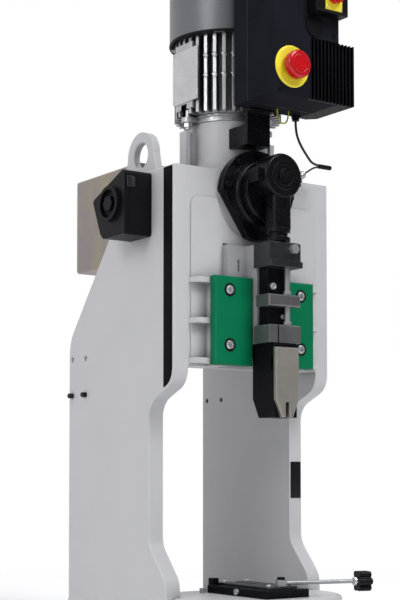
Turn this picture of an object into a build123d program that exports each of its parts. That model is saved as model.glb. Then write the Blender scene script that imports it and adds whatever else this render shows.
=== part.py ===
from build123d import *
from math import atan2, cos, degrees, hypot, radians, sin, tan
import os

# Terminal crimping machine in millimetres. +Z is up and the front faces -Y.
# The origin lies on the floor, in the middle of the base.

# Fits between pieces that move against each other, and between a part and its pocket
running = 0.1
clearance = 0.5

# Base and table
base_thickness = 66
base_wall = 16
base_rib = 16
base_roof = 18
ledge_drop = 20
table_width = 268
table_nose = 100
table_front = -195
table_rear = -70
table_pad_rear = -25
table_corner = 8
table_edge_round = 6
table_z = base_thickness
ledge_z = table_z - ledge_drop

# Portal: cheeks and head
frame_width = 288
cheek_thickness = 25
frame_front = -90
leg_front = -25
flare_front = -70
frame_rear = 210
daylight = 334
head_height = 291
head_rear = 50
head_wall = 12
head_lip = 40
head_recess = 32
step_high = 25
step_low = 53
step_radius = 31
flare_low = 22
flare_high = 74
flare_radius = 35
knee_y = 95
knee_drop = 94
knee_low = 236
cheek_top_rear = 28
knee_radius = 60
cheek_edge = 3
hole_radius = 4.5
hole_ys = (157, 198)
hole_lift = 360
screw_sink = 1
dowel_radius = 4
dowel_lift = 302
dowel_reach = 8
half_width = frame_width / 2
inner_x = half_width - cheek_thickness
hole_z = table_z + hole_lift
dowel_z = table_z + dowel_lift
head_z0 = table_z + daylight
head_z1 = head_z0 + head_height

# Neck for the motor
neck_radius = 60
neck_height = 81
neck_bore = 44
skirt_height = 28
skirt_spread = 26
web_reach = 84
web_thickness = 6
web_strip_depth = 8
web_strip_width = 16
web_drop = 14
motor_y = -25
neck_z1 = head_z1 + neck_height

# Guide block, ribs and green gib plates
guide_depth = 16
guide_half = 88
gib_width = 67
gib_gap = 48
gib_thickness = 14
gib_height = 129
gib_lift = 1
slide_half = 58.5
slide_depth = 38
slide_head_room = 3
rib_thickness = 8
rib_levels = (3, 61, 120)
panel_depth = 2
panel_half = 115
panel_corner = 14
panel_top = 248
screw_radius = 6.5
screw_socket = 3
gib_screw_x = 66
gib_screw_levels = (29, 109)
adjuster_radius = 4
adjuster_levels = (30, 46, 108)
adjuster_y = -99.5
adjuster_nut = 6.4
adjuster_nut_height = 6
adjuster_length = 14
slide_back_gap = 0.3
guide_height = gib_lift + gib_height
guide_front = frame_front - guide_depth
slide_channel_depth = slide_depth + running + slide_back_gap
gib_front = guide_front - gib_thickness
gib_z0 = head_z0 + gib_lift

# Eccentric drive: shaft along Y, crank at top dead centre
shaft_drop = 34
shaft_radius = 20
eccentricity = 20
flange_radius = 67
flange_flat = 53
flange_flat_angle = 35
flange_thickness = 14
housing_radius = 52
housing_thickness = 16
crank_radius = 44
crank_thickness = 11
crank_gap = 0.5
pin_radius = 7
pin_length = 16
rod_gap = 1.5
big_end_radius = 33
big_end_bore = 28.5
big_end_depth = 31
big_end_cap = 7
rod_neck_radius = 14
rod_foot_radius = 11
rod_shank_width = 32
rod_shank_corner = 7
rod_ball_radius = 18
shaft_z = head_z1 - shaft_drop
pin_z = shaft_z + eccentricity
flange_y = frame_front - flange_thickness
housing_y = flange_y - housing_thickness
crank_back = housing_y - crank_gap
crank_front = crank_back - crank_thickness
rod_back = crank_front - rod_gap
rod_front = rod_back - big_end_depth
rod_axis_y = rod_front + rod_neck_radius + 1

flange_screw_angles = (10, 50, 90, 130, 170, 270)
flange_screw_radius = 4.5
flange_screw_height = 6
shaft_rear = 30
rod_socket_radius = 12
socket_floor = 12
rod_collar = 5
rod_ear = 7
rod_ear_height = 20

# Ram and tool
slide_flange_room = 11
slide_top = head_height - shaft_drop - flange_radius - slide_flange_room
slide_bottom = 12
tongue_half = 23.5
tongue_root = 5
ledge_half = 29
ledge_front = -165
tongue_front = -128
rod_block_drop = 36
rod_block_low = slide_top - rod_block_drop
rod_block_height = 37
middle_low = 86
middle_height = 17
lower_low = 33
lower_height = 26
core_half = 19
core_front = -148
spindle_radius = 4
spindle_x = 11
spindle_y = -156
holder_rear = -115
holder_front = -165
holder_low = -75
holder_chamfer = 14
tool_half = 21
tool_thickness = 6
tool_top = 26
tool_taper_height = 26
tool_taper = 11
slot_width = 5
slot_depth = 8
slot_drop = 30
jaw_width = 6
jaw_height = 22
groove_x = 40
groove_width = 4
groove_height = 18
groove_drop = 21
lip_depth = 5
lip_height = 9
clamp_bolt_x = 14
clamp_bolt_radius = 5
clamp_bolt_drop = 10
clamp_bolt_depth = 6
clamp_bolt_head = 8
core_web = 6
slit_x = 12
slit_width = 3
slit_depth = 14
collar_height = 5
slide_channel_height = slide_top + slide_head_room

# Motor
motor_flange_height = 7
motor_flange_radius = 62
ear_radius = 10
end_shield_height = 4
end_shield_radius = 64
stator_height = 116
stator_core_radius = 58
fin_radius = 82
fin_thickness = 5
fin_count = 36
rotor_radius = 37
air_gap = 0.6
rotor_reach = 55
motor_shaft_radius = 9.5
cowl_radius = 89.5
cowl_height = 118
cowl_wall = 2
fan_radius = 74
fan_height = 26
fan_lift = 34
stud_circle = 74
stud_count = 4
stud_radius = 4
stud_nut = 7
stud_nut_height = 7
stud_tail = 12
stud_end = 3
stud_pocket = 11
stud_pocket_height = 16
stator_tube_radius = 68
pad_lift = 8
pad_width = 44
pad_root = 6
core_inset = 4
arm_width = 14
shield_thickness = 8
fan_disc = 3
fan_hub_radius = 16
fan_blade_count = 8
cowl_corner = 10
vent_spokes = 6
vent_width = 6
vent_bar = 5
vent_rings = (26, 42, 58, 74)
plate_skin = 1.2
flange_z1 = neck_z1 + motor_flange_height
rotor_foot = neck_z1 - rotor_reach
stator_z0 = flange_z1 + end_shield_height
stator_z1 = stator_z0 + stator_height
cowl_z1 = stator_z1 + cowl_height

# Gear unit and its chamber in the head
chamber_half = 60
chamber_low = 196
chamber_front = -60
bearing_radius = 32
bearing_width = 16
gear_half = 46
gear_rear = 34
chamber_z0 = head_z0 + chamber_low

# Control box in front of the motor
box_x0 = -56
box_x1 = 64
box_front = -213
box_rear = -116
box_lift = 9
box_height = 201
box_wall = 3
sink_x1 = 92
sink_height = 89
sink_fin_count = 13
sink_fin = 2.4
box_seam = 34
box_corner = 2.5
sink_x0 = 9
sink_recess = 8
sink_plate = 3
sink_bevel = 12
box_screw_inset = 10
box_screw_radius = 3
bracket_x0 = -34
bracket_x1 = 8
bracket_wall = 4
bracket_foot = 14
bracket_drop = 44
bracket_top_drop = 14
box_z0 = neck_z1 + box_lift
bracket_z0 = neck_z1 - bracket_drop
bracket_z1 = neck_z1 - bracket_top_drop
box_z1 = box_z0 + box_height

# Emergency stop, blind plug and main switch
stop_x = -25
stop_lift = 40
stop_disc_radius = 30
stop_disc_thickness = 3
stop_head_radius = 20
stop_head_length = 12
stop_stem_radius = 10
stop_travel = 5
plug_x = 16
plug_lift = 106
plug_radius = 15
plug_thickness = 3
switch_x0 = 4
switch_x1 = 64
switch_lift = 123
switch_height = 74
switch_depth = 22
switch_plate_lift = 3
switch_plate_width = 30
switch_plate_height = 44
switch_plate_thickness = 2
handle_radius = 13
handle_length = 16
handle_grip = 8
handle_stem = 5
handle_seat = 12

# Side housing on the left cheek
side_depth = 47
side_body_depth = 37
side_front = -32
side_bottom_drop = 99
side_height = 97
side_slope = 36
side_knee = 58
side_low_rear = 36
side_lip = 8
side_corner = 5
side_wall = 4
gasket = 1
side_cap_radius = 26
side_cap_ring = 5
side_cap_depth = 6
side_hub_radius = 12
side_cap_y = 6
side_cap_lift = 49
latch_length = 12
latch_width = 16
latch_thickness = 2
latch_gap = 0.3
latch_corner = 2
latch_lip = 3
latch_drop = 20
side_low = head_z1 - side_bottom_drop
side_high = side_low + side_height
side_cap_z = side_low + side_cap_lift

# Rear cabinet
cabinet_rear = 229
cabinet_low = -121
cabinet_high = 30
cabinet_wall = 2
cabinet_gap = 1
cabinet_half = inner_x - cabinet_gap
cabinet_bend = 5
lid_rim = 12
lid_screw_radius = 4
lid_screw_inset = 12
lid_screw_height = 2.5

# Lifting lug
lug_radius = 35
lug_bore = 19
lug_thickness = 12
lug_y = 8
lug_lift = 29
lug_foot = 42
lug_inset = 6

# Quick clamp on the table
plate_x0 = -37
plate_x1 = 40
plate_front = -168
plate_rear = -23
plate_thickness = 12
top_plate_thickness = 4
top_plate_inset = 12
lever_x = 3
lever_y = -150
lever_hub_radius = 8
lever_hub_height = 9
pivot_radius = 4
pivot_head = 4
lever_rod_radius = 3
lever_tip_x = 127
lever_tip_y = -187
star_radius = 16
star_thickness = 20
star_lobe = 5
star_lobes = 6
knob_radius = 5
stop_block = 11
tool_slot_width = 10
tool_slot_length = 60
flank_screw_y = -98
flank_screw_radius = 4.5
flank_screw_height = 3.5

# Blank name plate of the motor
badge_width = 65
badge_height = 80


# Cords
lead_radius = 1.4
cable_radius = 1.8
earth_radius = 1.1
sleeve_radius = 3.5
sleeve_length = 24
sleeve_x = 92
sleeve_y = -132
sleeve_z = 708
gland_radius = 7
gland_length = 8
gland_x = 53
gland_y = -125
cable_sag = ((0, 0, 16), (6, 2, 34), (17, 5, 51))
earth_span = 21
earth_sag = 20
earth_bend = 5
earth_x = 6
earth_y = -140
sensor_radius = 6
sensor_length = 30
sensor_angle = 29
sensor_gap = 1.5
sensor_nut = 3
bracket_distance = 11
bracket_margin = 4
sensor_bracket_thickness = 4

os.makedirs("parts", exist_ok=True)


def save(part, name):
    part.label = name
    export_step(part, f"parts/{name}.step")


def cord(points, radius, name):
    """A tube along straight runs joined by tangent arcs, each arc as large as its runs allow."""
    radii = []
    runs = [(b - a) for a, b in zip(points, points[1:])]
    for before, after in zip(runs, runs[1:]):
        turn = radians(before.get_angle(after))
        radii.append(0.45 * min(before.length, after.length) / tan(turn / 2))
    with BuildPart() as tube:
        with BuildLine() as path:
            FilletPolyline(*points, radius=radii)
        with BuildSketch(Plane(origin=points[0], z_dir=runs[0])):
            Circle(radius)
        sweep()
    print(name, "radii", [round(r, 1) for r in radii], "length", round(path.wires()[0].length, 1))
    save(tube.part, name)


# Base casting: table with a round nose in front, raised pad between the cheeks, ledges under the cheeks
with BuildPart() as base_plate:
    with BuildSketch(Plane.XY) as table_outline:
        with Locations((0, (table_front + table_rear) / 2)):
            Rectangle(table_width, table_rear - table_front)
        fillet(table_outline.vertices().group_by(Axis.Y)[0], table_nose)
        fillet(table_outline.vertices().group_by(Axis.Y)[-1], table_corner)
    extrude(amount=base_thickness)
    table_edge = base_plate.edges().group_by(Axis.Z)[-1].filter_by(lambda e: e.center().Y < table_rear - 1)
    fillet(table_edge, table_edge_round)
    with BuildSketch(Plane.XY) as frame_outline:
        with Locations((0, (table_rear - table_corner + frame_rear) / 2)):
            Rectangle(frame_width, frame_rear - table_rear + table_corner)
    extrude(amount=ledge_z)
    with BuildSketch(Plane.XY.offset(ledge_z)):
        with Locations((0, (table_rear - table_corner + table_pad_rear) / 2)):
            Rectangle(2 * inner_x, table_pad_rear - table_rear + table_corner)
    extrude(amount=ledge_drop)
    # Pockets in the underside, between the rim and a cross of ribs that stand on the floor
    with BuildSketch(Plane.XY):
        add(table_outline.sketch)
        add(frame_outline.sketch)
        offset(amount=-base_wall)
        with Locations((0, (table_front + frame_rear) / 2)):
            Rectangle(base_rib, frame_rear - table_front, mode=Mode.SUBTRACT)
        with Locations((0, table_rear)):
            Rectangle(frame_width, base_rib, mode=Mode.SUBTRACT)
    extrude(amount=ledge_z - base_roof, mode=Mode.SUBTRACT)
save(base_plate.part, "base_plate")


def corners_of(sketch, *places):
    """The vertices of a sketch that lie at the given profile corners."""
    return [min(sketch.vertices(), key=lambda v: hypot(v.X - p[0], v.Y - p[1])) for p in places]


def cheek(name, side):
    """One cheek: a thick plate with the step under the head and the flare at its foot."""
    x0 = inner_x if side > 0 else -half_width
    flare_foot = (flare_front, table_z + flare_low)
    flare_head = (leg_front, table_z + flare_high)
    step_leg = (leg_front, head_z0 - step_low)
    step_front = (frame_front, head_z0 - step_high)
    knee_high = (knee_y, head_z1 - knee_drop)
    knee = (frame_rear, head_z1 - knee_low)
    with BuildPart() as plate:
        with BuildSketch(Plane.YZ.offset(x0)) as profile:
            with BuildLine():
                Polyline(
                    (flare_front, ledge_z),
                    flare_foot,
                    flare_head,
                    step_leg,
                    step_front,
                    (frame_front, head_z1),
                    (cheek_top_rear, head_z1),
                    knee_high,
                    knee,
                    (frame_rear, ledge_z),
                    close=True,
                )
            make_face()
            fillet(corners_of(profile, flare_foot, flare_head), flare_radius)
            fillet(corners_of(profile, step_leg, step_front), step_radius)
            fillet(corners_of(profile, knee), knee_radius)
        extrude(amount=cheek_thickness)
        outer = plate.faces().sort_by(Axis.X)[-1 if side > 0 else 0]
        fillet(outer.outer_wire().edges().filter_by(lambda e: e.center().Z > ledge_z + 1), cheek_edge)
        # Through holes for the rear screws, and dowel holes below them
        with BuildSketch(Plane.YZ.offset(x0)):
            with Locations(*((y, hole_z) for y in hole_ys)):
                Circle(hole_radius)
            with Locations(*((y, dowel_z) for y in hole_ys)):
                Circle(dowel_radius)
        extrude(amount=cheek_thickness, mode=Mode.SUBTRACT)
    save(plate.part, name)


cheek("left_cheek", -1)
cheek("right_cheek", 1)

# Dowel pins, which stand out of both cheeks
with BuildPart() as dowel_pins:
    for x0 in (-half_width - dowel_reach, inner_x):
        with BuildSketch(Plane.YZ.offset(x0)):
            with Locations(*((y, dowel_z) for y in hole_ys)):
                Circle(dowel_radius)
        extrude(amount=cheek_thickness + dowel_reach)
    chamfer(dowel_pins.edges().filter_by(GeomType.CIRCLE), 0.8)
save(dowel_pins.part, "dowel_pins")

# Screws in the through holes of the cheeks, sunk below both faces
with BuildPart() as leg_screws:
    for x0 in (-half_width, inner_x):
        with BuildSketch(Plane.YZ.offset(x0 + screw_sink)):
            with Locations(*((y, hole_z) for y in hole_ys)):
                Circle(hole_radius)
        extrude(amount=cheek_thickness - 2 * screw_sink)
    sockets = leg_screws.faces().filter_by(Axis.X)
    with BuildSketch(*(Plane(face.center(), z_dir=face.normal_at()) for face in sockets)):
        RegularPolygon(screw_socket, 6)
    extrude(amount=-2, mode=Mode.SUBTRACT)

# Head casting: hollow box with a neck for the motor, a guide block in front and gusset ribs beside it
with BuildPart() as head_casting:
    with BuildSketch(Plane.XY.offset(head_z0)):
        with Locations((0, (frame_front + head_rear) / 2)):
            Rectangle(2 * inner_x, head_rear - frame_front)
    extrude(amount=head_height)
    # Neck and its skirt
    with BuildSketch(Plane.XZ.offset(-motor_y)) as neck_profile:
        with BuildLine():
            Line((0, head_z1 - 1), (0, neck_z1))
            Line((0, neck_z1), (neck_radius, neck_z1))
            Line((neck_radius, neck_z1), (neck_radius, head_z1 + skirt_height))
            Spline(
                (neck_radius, head_z1 + skirt_height),
                (neck_radius + skirt_spread, head_z1 - 1),
                tangents=((0, -1), (1, -0.25)),
            )
            Line((neck_radius + skirt_spread, head_z1 - 1), (0, head_z1 - 1))
        make_face()
    revolve(axis=Axis((0, motor_y, 0), (0, 0, 1)))
    # Web on both sides of the neck, with a thicker strip down its outer edge
    with BuildSketch(Plane.XY.offset(head_z1 - 1)):
        with Locations((0, motor_y)):
            with PolarLocations((neck_radius + web_reach) / 2 - 1, 2):
                Rectangle(web_reach - neck_radius, web_thickness)
            with PolarLocations(web_reach - web_strip_depth / 2, 2):
                Rectangle(web_strip_depth, web_strip_width)
    extrude(amount=neck_height - web_drop + 1)
    # The skirt is cut flush with the front and rear walls
    with BuildSketch(Plane.XY.offset(head_z1 - 1)):
        with Locations((0, frame_front - skirt_spread), (0, head_rear + skirt_spread)):
            Rectangle(2 * half_width, 2 * skirt_spread)
    extrude(amount=neck_height, mode=Mode.SUBTRACT)
    # Shallow raised panel round the flange
    with BuildSketch(Plane.XZ.offset(-frame_front)):
        with Locations((0, head_z0 + panel_top / 2)):
            RectangleRounded(2 * panel_half, panel_top, panel_corner)
        with Locations((0, shaft_z)):
            Circle(flange_radius + clearance, mode=Mode.SUBTRACT)
    extrude(amount=panel_depth)
    # Guide block
    with BuildSketch(Plane.XY.offset(head_z0)):
        with Locations((0, frame_front - guide_depth / 2)):
            Rectangle(2 * guide_half, guide_depth)
    extrude(amount=guide_height)
    # Gusset ribs, full depth at the guide block and running out towards the cheeks
    for level in rib_levels:
        with BuildSketch(Plane.XY.offset(head_z0 + level)):
            for side in (-1, 1):
                with BuildLine():
                    Polyline(
                        (side * guide_half, frame_front),
                        (side * guide_half, guide_front),
                        (side * (inner_x - 8), guide_front),
                        (side * (inner_x - 1), frame_front),
                        close=True,
                    )
                make_face()
        extrude(amount=rib_thickness)
    # Slide channel, open at the front and below
    with BuildSketch(Plane.XY.offset(head_z0)):
        with Locations((0, guide_front + slide_channel_depth / 2)):
            Rectangle(2 * (slide_half + running), slide_channel_depth)
    extrude(amount=slide_channel_height, mode=Mode.SUBTRACT)
    # Underside hollow behind the front lip
    with BuildSketch(Plane.XY.offset(head_z0)):
        with Locations((0, (frame_front + head_lip + head_rear) / 2)):
            Rectangle(2 * inner_x, head_rear - frame_front - head_lip)
    extrude(amount=head_recess, mode=Mode.SUBTRACT)
    # Gear chamber, open to the rear, with bores for the neck and the eccentric shaft
    with BuildSketch(Plane.XY.offset(chamber_z0)):
        with Locations((0, (chamber_front + head_rear) / 2)):
            Rectangle(2 * chamber_half, head_rear - chamber_front)
    extrude(amount=head_z1 - head_wall - chamber_z0, mode=Mode.SUBTRACT)
    with BuildSketch(Plane.XY.offset(head_z1 - head_wall - 1)):
        with Locations((0, motor_y)):
            Circle(neck_bore)
    extrude(amount=neck_height + head_wall + 1, mode=Mode.SUBTRACT)
    with BuildSketch(Plane.XZ.offset(-chamber_front)):
        with Locations((0, shaft_z)):
            Circle(bearing_radius)
    extrude(amount=chamber_front - frame_front, mode=Mode.SUBTRACT)
save(head_casting.part, "head_casting")

# Lifting lug standing on the left cheek
with BuildPart() as lifting_lug:
    with BuildSketch(Plane.YZ.offset(-half_width + lug_inset)):
        with BuildLine():
            Polyline(
                (lug_y - lug_foot, head_z1),
                (lug_y + lug_foot, head_z1),
                (lug_y + lug_radius, head_z1 + lug_lift),
                (lug_y - lug_radius, head_z1 + lug_lift),
                close=True,
            )
        make_face()
        with Locations((lug_y, head_z1 + lug_lift)):
            Circle(lug_radius)
            Circle(lug_bore, mode=Mode.SUBTRACT)
    extrude(amount=lug_thickness)
    with BuildSketch(Plane.YZ.offset(-half_width)):
        with Locations((0, head_z1 - lug_foot)):
            Rectangle(4 * lug_foot, 2 * lug_foot)
    extrude(amount=cheek_thickness, mode=Mode.SUBTRACT)
    bore_edges = lifting_lug.edges().filter_by(GeomType.CIRCLE).filter_by(lambda e: e.radius < lug_radius - 1)
    chamfer(bore_edges, 1.5)
save(lifting_lug.part, "lifting_lug")

# Gib plates, bolted on the guide block on both sides of the ram
for name, side in (("left_gib_plate", -1), ("right_gib_plate", 1)):
    with BuildPart() as gib:
        with BuildSketch(Plane.XZ.offset(-guide_front)):
            with Locations((side * (gib_gap + gib_width) / 2, gib_z0 + gib_height / 2)):
                Rectangle(gib_width, gib_height)
        extrude(amount=gib_thickness)
        chamfer(gib.faces().sort_by(Axis.Y)[0].edges(), 1.5)
        with BuildSketch(Plane.XZ.offset(-gib_front)):
            with Locations(*((side * gib_screw_x, gib_z0 + z) for z in gib_screw_levels)):
                Circle(screw_radius)
        extrude(amount=-gib_thickness, mode=Mode.SUBTRACT)
    save(gib.part, name)

# Socket screws that fill their holes in the gib plates
with BuildPart() as gib_screws:
    with BuildSketch(Plane.XZ.offset(-guide_front)):
        with Locations(*((s * gib_screw_x, gib_z0 + z) for s in (-1, 1) for z in gib_screw_levels)):
            Circle(screw_radius)
    extrude(amount=gib_thickness + 2)
    chamfer(gib_screws.faces().sort_by(Axis.Y)[:4].edges(), 1)
    with BuildSketch(Plane.XZ.offset(2 - gib_front)):
        with Locations(*((s * gib_screw_x, gib_z0 + z) for s in (-1, 1) for z in gib_screw_levels)):
            RegularPolygon(screw_socket, 6)
    extrude(amount=-4, mode=Mode.SUBTRACT)

# Adjusting screws of the gibs, with their lock nuts, on the right flank of the guide block
with BuildPart() as gib_adjusters:
    with BuildSketch(Plane.YZ.offset(guide_half)):
        with Locations(*((adjuster_y, head_z0 + z) for z in adjuster_levels)):
            RegularPolygon(adjuster_nut, 6)
    extrude(amount=adjuster_nut_height)
    with BuildSketch(Plane.YZ.offset(guide_half)):
        with Locations(*((adjuster_y, head_z0 + z) for z in adjuster_levels)):
            Circle(adjuster_radius)
    extrude(amount=adjuster_length)
save(gib_adjusters.part, "gib_adjusters")

# Ram slide: wide body behind the gib plates and a tongue between them, at its top position
slide_z0 = head_z0 + slide_bottom
slide_z1 = head_z0 + slide_top
slide_front = guide_front + running
with BuildPart() as ram_slide:
    with BuildSketch(Plane.XY.offset(slide_z0)):
        with Locations((0, slide_front + slide_depth / 2)):
            Rectangle(2 * slide_half, slide_depth)
    extrude(amount=slide_z1 - slide_z0)
    with BuildSketch(Plane.XY.offset(head_z0 + lower_low)):
        with Locations((0, (slide_front + tongue_root + tongue_front) / 2)):
            Rectangle(2 * tongue_half, slide_front + tongue_root - tongue_front)
    extrude(amount=slide_top - lower_low)
    # Short oil slot on the left of the visible front
    with BuildSketch(Plane.XZ.offset(-slide_front)):
        with Locations((-groove_x, slide_z1 - groove_drop - groove_height / 2)):
            Rectangle(groove_width, groove_height)
    extrude(amount=-groove_width, mode=Mode.SUBTRACT)
save(ram_slide.part, "ram_slide")

# Rod clamp block at the head of the ram, with a lip at its foot and a socket for the connecting rod
rod_block_z0 = head_z0 + rod_block_low
rod_block_z1 = rod_block_z0 + rod_block_height
rod_foot_z = rod_block_z0 + socket_floor + clearance
with BuildPart() as rod_clamp_block:
    with BuildSketch(Plane.XY.offset(rod_block_z0)):
        with Locations((0, (tongue_front + ledge_front) / 2)):
            Rectangle(2 * ledge_half, tongue_front - ledge_front)
    extrude(amount=rod_block_height)
    with BuildSketch(Plane.XY.offset(rod_block_z0)):
        with Locations((0, ledge_front - lip_depth / 2)):
            Rectangle(2 * ledge_half, lip_depth)
    extrude(amount=lip_height)
    chamfer(rod_clamp_block.edges().group_by(Axis.Z)[-1], 2)
    with Locations((0, rod_axis_y, rod_block_z1)):
        Hole(rod_socket_radius, depth=rod_block_height - socket_floor)
    with BuildSketch(Plane.XZ.offset(-ledge_front)):
        with Locations((clamp_bolt_x, rod_block_z1 - clamp_bolt_drop)):
            Circle(clamp_bolt_radius)
    extrude(amount=-clamp_bolt_depth, mode=Mode.SUBTRACT)
save(rod_clamp_block.part, "rod_clamp_block")

# Bright clamp bolt at the upper right of the block, with a short cross handle
with BuildPart() as clamp_bolt:
    with BuildSketch(Plane.XZ.offset(-ledge_front - clamp_bolt_depth)):
        with Locations((clamp_bolt_x, rod_block_z1 - clamp_bolt_drop)):
            Circle(clamp_bolt_radius)
    extrude(amount=clamp_bolt_depth + clamp_bolt_head)
    with BuildSketch(Plane.XZ.offset(-ledge_front)):
        with Locations((clamp_bolt_x, rod_block_z1 - clamp_bolt_drop)):
            RegularPolygon(clamp_bolt_radius + 2, 6)
    extrude(amount=clamp_bolt_head)

# Tool carrier: the black core between the ledges
middle_z0 = head_z0 + middle_low
middle_z1 = middle_z0 + middle_height
lower_z0 = head_z0 + lower_low
lower_z1 = lower_z0 + lower_height
with BuildPart() as tool_carrier:
    for z0, z1 in ((lower_z1, middle_z0), (middle_z1, rod_block_z0)):
        with BuildSketch(Plane.XY.offset(z0)):
            with Locations((0, (tongue_front + core_front) / 2)):
                Rectangle(2 * core_half, tongue_front - core_front)
        extrude(amount=z1 - z0)
    with BuildSketch(Plane.XY.offset(middle_z0)):
        with Locations((0, tongue_front - core_web / 2)):
            Rectangle(2 * core_half, core_web)
    extrude(amount=middle_height)
save(tool_carrier.part, "tool_carrier")

# Middle ledge with the guide hole of the spindle
with BuildPart() as middle_ledge:
    with BuildSketch(Plane.XY.offset(middle_z0)):
        with Locations((0, (tongue_front - core_web + ledge_front) / 2)):
            Rectangle(2 * ledge_half, tongue_front - core_web - ledge_front)
        with Locations((spindle_x, spindle_y)):
            Circle(spindle_radius + running, mode=Mode.SUBTRACT)
    extrude(amount=middle_height)
    chamfer(middle_ledge.faces().sort_by(Axis.Y)[0].edges(), 1.5)
save(middle_ledge.part, "middle_ledge")

# Lower clamp ledge, which grips the shank of the tool holder
with BuildPart() as lower_clamp:
    with BuildSketch(Plane.XY.offset(lower_z0)):
        with Locations((0, (tongue_front + ledge_front) / 2)):
            Rectangle(2 * ledge_half, tongue_front - ledge_front)
        with Locations((spindle_x, spindle_y)):
            Circle(spindle_radius, mode=Mode.SUBTRACT)
    extrude(amount=lower_height)
    chamfer(lower_clamp.edges().group_by(Axis.Z)[-1].filter_by(GeomType.LINE), 1.5)
    with BuildSketch(Plane.XZ.offset(-ledge_front)):
        with Locations((-slit_x, lower_z0 + lower_height / 2)):
            Rectangle(slit_width, lower_height)
    extrude(amount=-slit_depth, mode=Mode.SUBTRACT)
save(lower_clamp.part, "lower_clamp")

# Adjusting spindle with a collar above and below the middle ledge
with BuildPart() as spindle:
    with BuildSketch(Plane.XY.offset(lower_z0)):
        with Locations((spindle_x, spindle_y)):
            Circle(spindle_radius)
    extrude(amount=rod_block_z0 - lower_z0)
    for z in (middle_z1 + 1, lower_z1 + 1):
        with BuildSketch(Plane.XY.offset(z)):
            with Locations((spindle_x, spindle_y)):
                Circle(spindle_radius + 2)
        extrude(amount=collar_height)
save(clamp_bolt.part + spindle.part, "ram_screws")

# Black tool holder with a rear chamfer and an upright slot in its left flank
holder_z0 = head_z0 + holder_low
with BuildPart() as tool_holder:
    with BuildSketch(Plane.YZ.offset(-tool_half)):
        with BuildLine():
            Polyline(
                (holder_rear, lower_z0),
                (holder_front, lower_z0),
                (holder_front, holder_z0),
                (holder_rear - holder_chamfer, holder_z0),
                (holder_rear, holder_z0 + 2 * holder_chamfer),
                close=True,
            )
        make_face()
    extrude(amount=2 * tool_half)
    with BuildSketch(Plane.YZ.offset(-tool_half)):
        with Locations((holder_front + slot_width, lower_z0 - slot_drop)):
            SlotCenterToCenter(2 * slot_depth, slot_width, rotation=90)
    extrude(amount=slot_depth, mode=Mode.SUBTRACT)
    # Notch between the two jaws at the foot
    with BuildSketch(Plane.XZ.offset(-holder_front)):
        with Locations((0, holder_z0 + jaw_height / 2)):
            Rectangle(jaw_width, jaw_height)
    extrude(amount=-(holder_rear - holder_front), mode=Mode.SUBTRACT)
save(tool_holder.part, "tool_holder")

# Steel tool plate on the front of the holder, tapering at its foot around the crimping slot
with BuildPart() as tool_plate:
    with BuildSketch(Plane.XZ.offset(-holder_front)):
        with BuildLine():
            Polyline(
                (-tool_half, head_z0 + tool_top),
                (tool_half, head_z0 + tool_top),
                (tool_half, holder_z0 + tool_taper_height),
                (tool_half - tool_taper, holder_z0),
                (-tool_half + tool_taper, holder_z0),
                (-tool_half, holder_z0 + tool_taper_height),
                close=True,
            )
        make_face()
        with Locations((0, holder_z0 + jaw_height / 2)):
            Rectangle(jaw_width, jaw_height, mode=Mode.SUBTRACT)
    extrude(amount=tool_thickness)
    chamfer(tool_plate.faces().sort_by(Axis.Y)[0].outer_wire().edges(), 1.2)
save(tool_plate.part, "tool_plate")

# Bearing flange on the front wall: round above, with two flats below, a bearing housing and a bore for the shaft
with BuildPart() as bearing_flange:
    with BuildSketch(Plane.XZ.offset(-frame_front)):
        with Locations((0, shaft_z)):
            Circle(flange_radius)
            for angle in (-flange_flat_angle, flange_flat_angle - 180):
                with PolarLocations(flange_flat + flange_radius / 2, 1, start_angle=angle):
                    Rectangle(flange_radius, 2 * flange_radius, mode=Mode.SUBTRACT)
            Circle(shaft_radius + running, mode=Mode.SUBTRACT)
    extrude(amount=flange_thickness)
    with BuildSketch(Plane.XZ.offset(-flange_y)):
        with Locations((0, shaft_z)):
            Circle(housing_radius)
            Circle(shaft_radius + running, mode=Mode.SUBTRACT)
    extrude(amount=housing_thickness)
    fillet(bearing_flange.faces().sort_by(Axis.Y)[0].outer_wire().edges(), 5)
    # Flats at both sides and cooling grooves round the housing
    with BuildSketch(Plane.XZ.offset(-housing_y - 6)):
        with Locations((0, shaft_z)):
            Circle(housing_radius + 1)
            Circle(housing_radius - 3, mode=Mode.SUBTRACT)
    extrude(amount=-3, mode=Mode.SUBTRACT)
save(bearing_flange.part, "bearing_flange")

# Screws round the rim of the flange
with BuildPart() as flange_screws:
    with BuildSketch(Plane.XZ.offset(-flange_y)):
        with Locations((0, shaft_z)):
            for angle in flange_screw_angles:
                with PolarLocations((flange_radius + housing_radius) / 2, 1, start_angle=angle):
                    Circle(flange_screw_radius)
    extrude(amount=flange_screw_height)
    with BuildSketch(Plane.XZ.offset(flange_screw_height - flange_y)):
        with Locations((0, shaft_z)):
            for angle in flange_screw_angles:
                with PolarLocations((flange_radius + housing_radius) / 2, 1, start_angle=angle):
                    RegularPolygon(flange_screw_radius / 2, 6)
    extrude(amount=-flange_screw_height / 2, mode=Mode.SUBTRACT)

# Eccentric shaft with its crank disc and the stub of the crank pin
with BuildPart() as eccentric_shaft:
    with BuildSketch(Plane.XZ.offset(-crank_back)):
        with Locations((0, shaft_z)):
            Circle(shaft_radius)
    extrude(amount=-(shaft_rear - crank_back))
    with BuildSketch(Plane.XZ.offset(-crank_back)):
        with Locations((0, shaft_z)):
            Circle(crank_radius)
    extrude(amount=crank_thickness)
    chamfer(eccentric_shaft.faces().sort_by(Axis.Y)[0].edges(), 1.5)
    with BuildSketch(Plane.XZ.offset(-crank_front)):
        with Locations((0, pin_z)):
            Circle(pin_radius)
    extrude(amount=pin_length)
save(eccentric_shaft.part, "eccentric_shaft")

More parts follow.
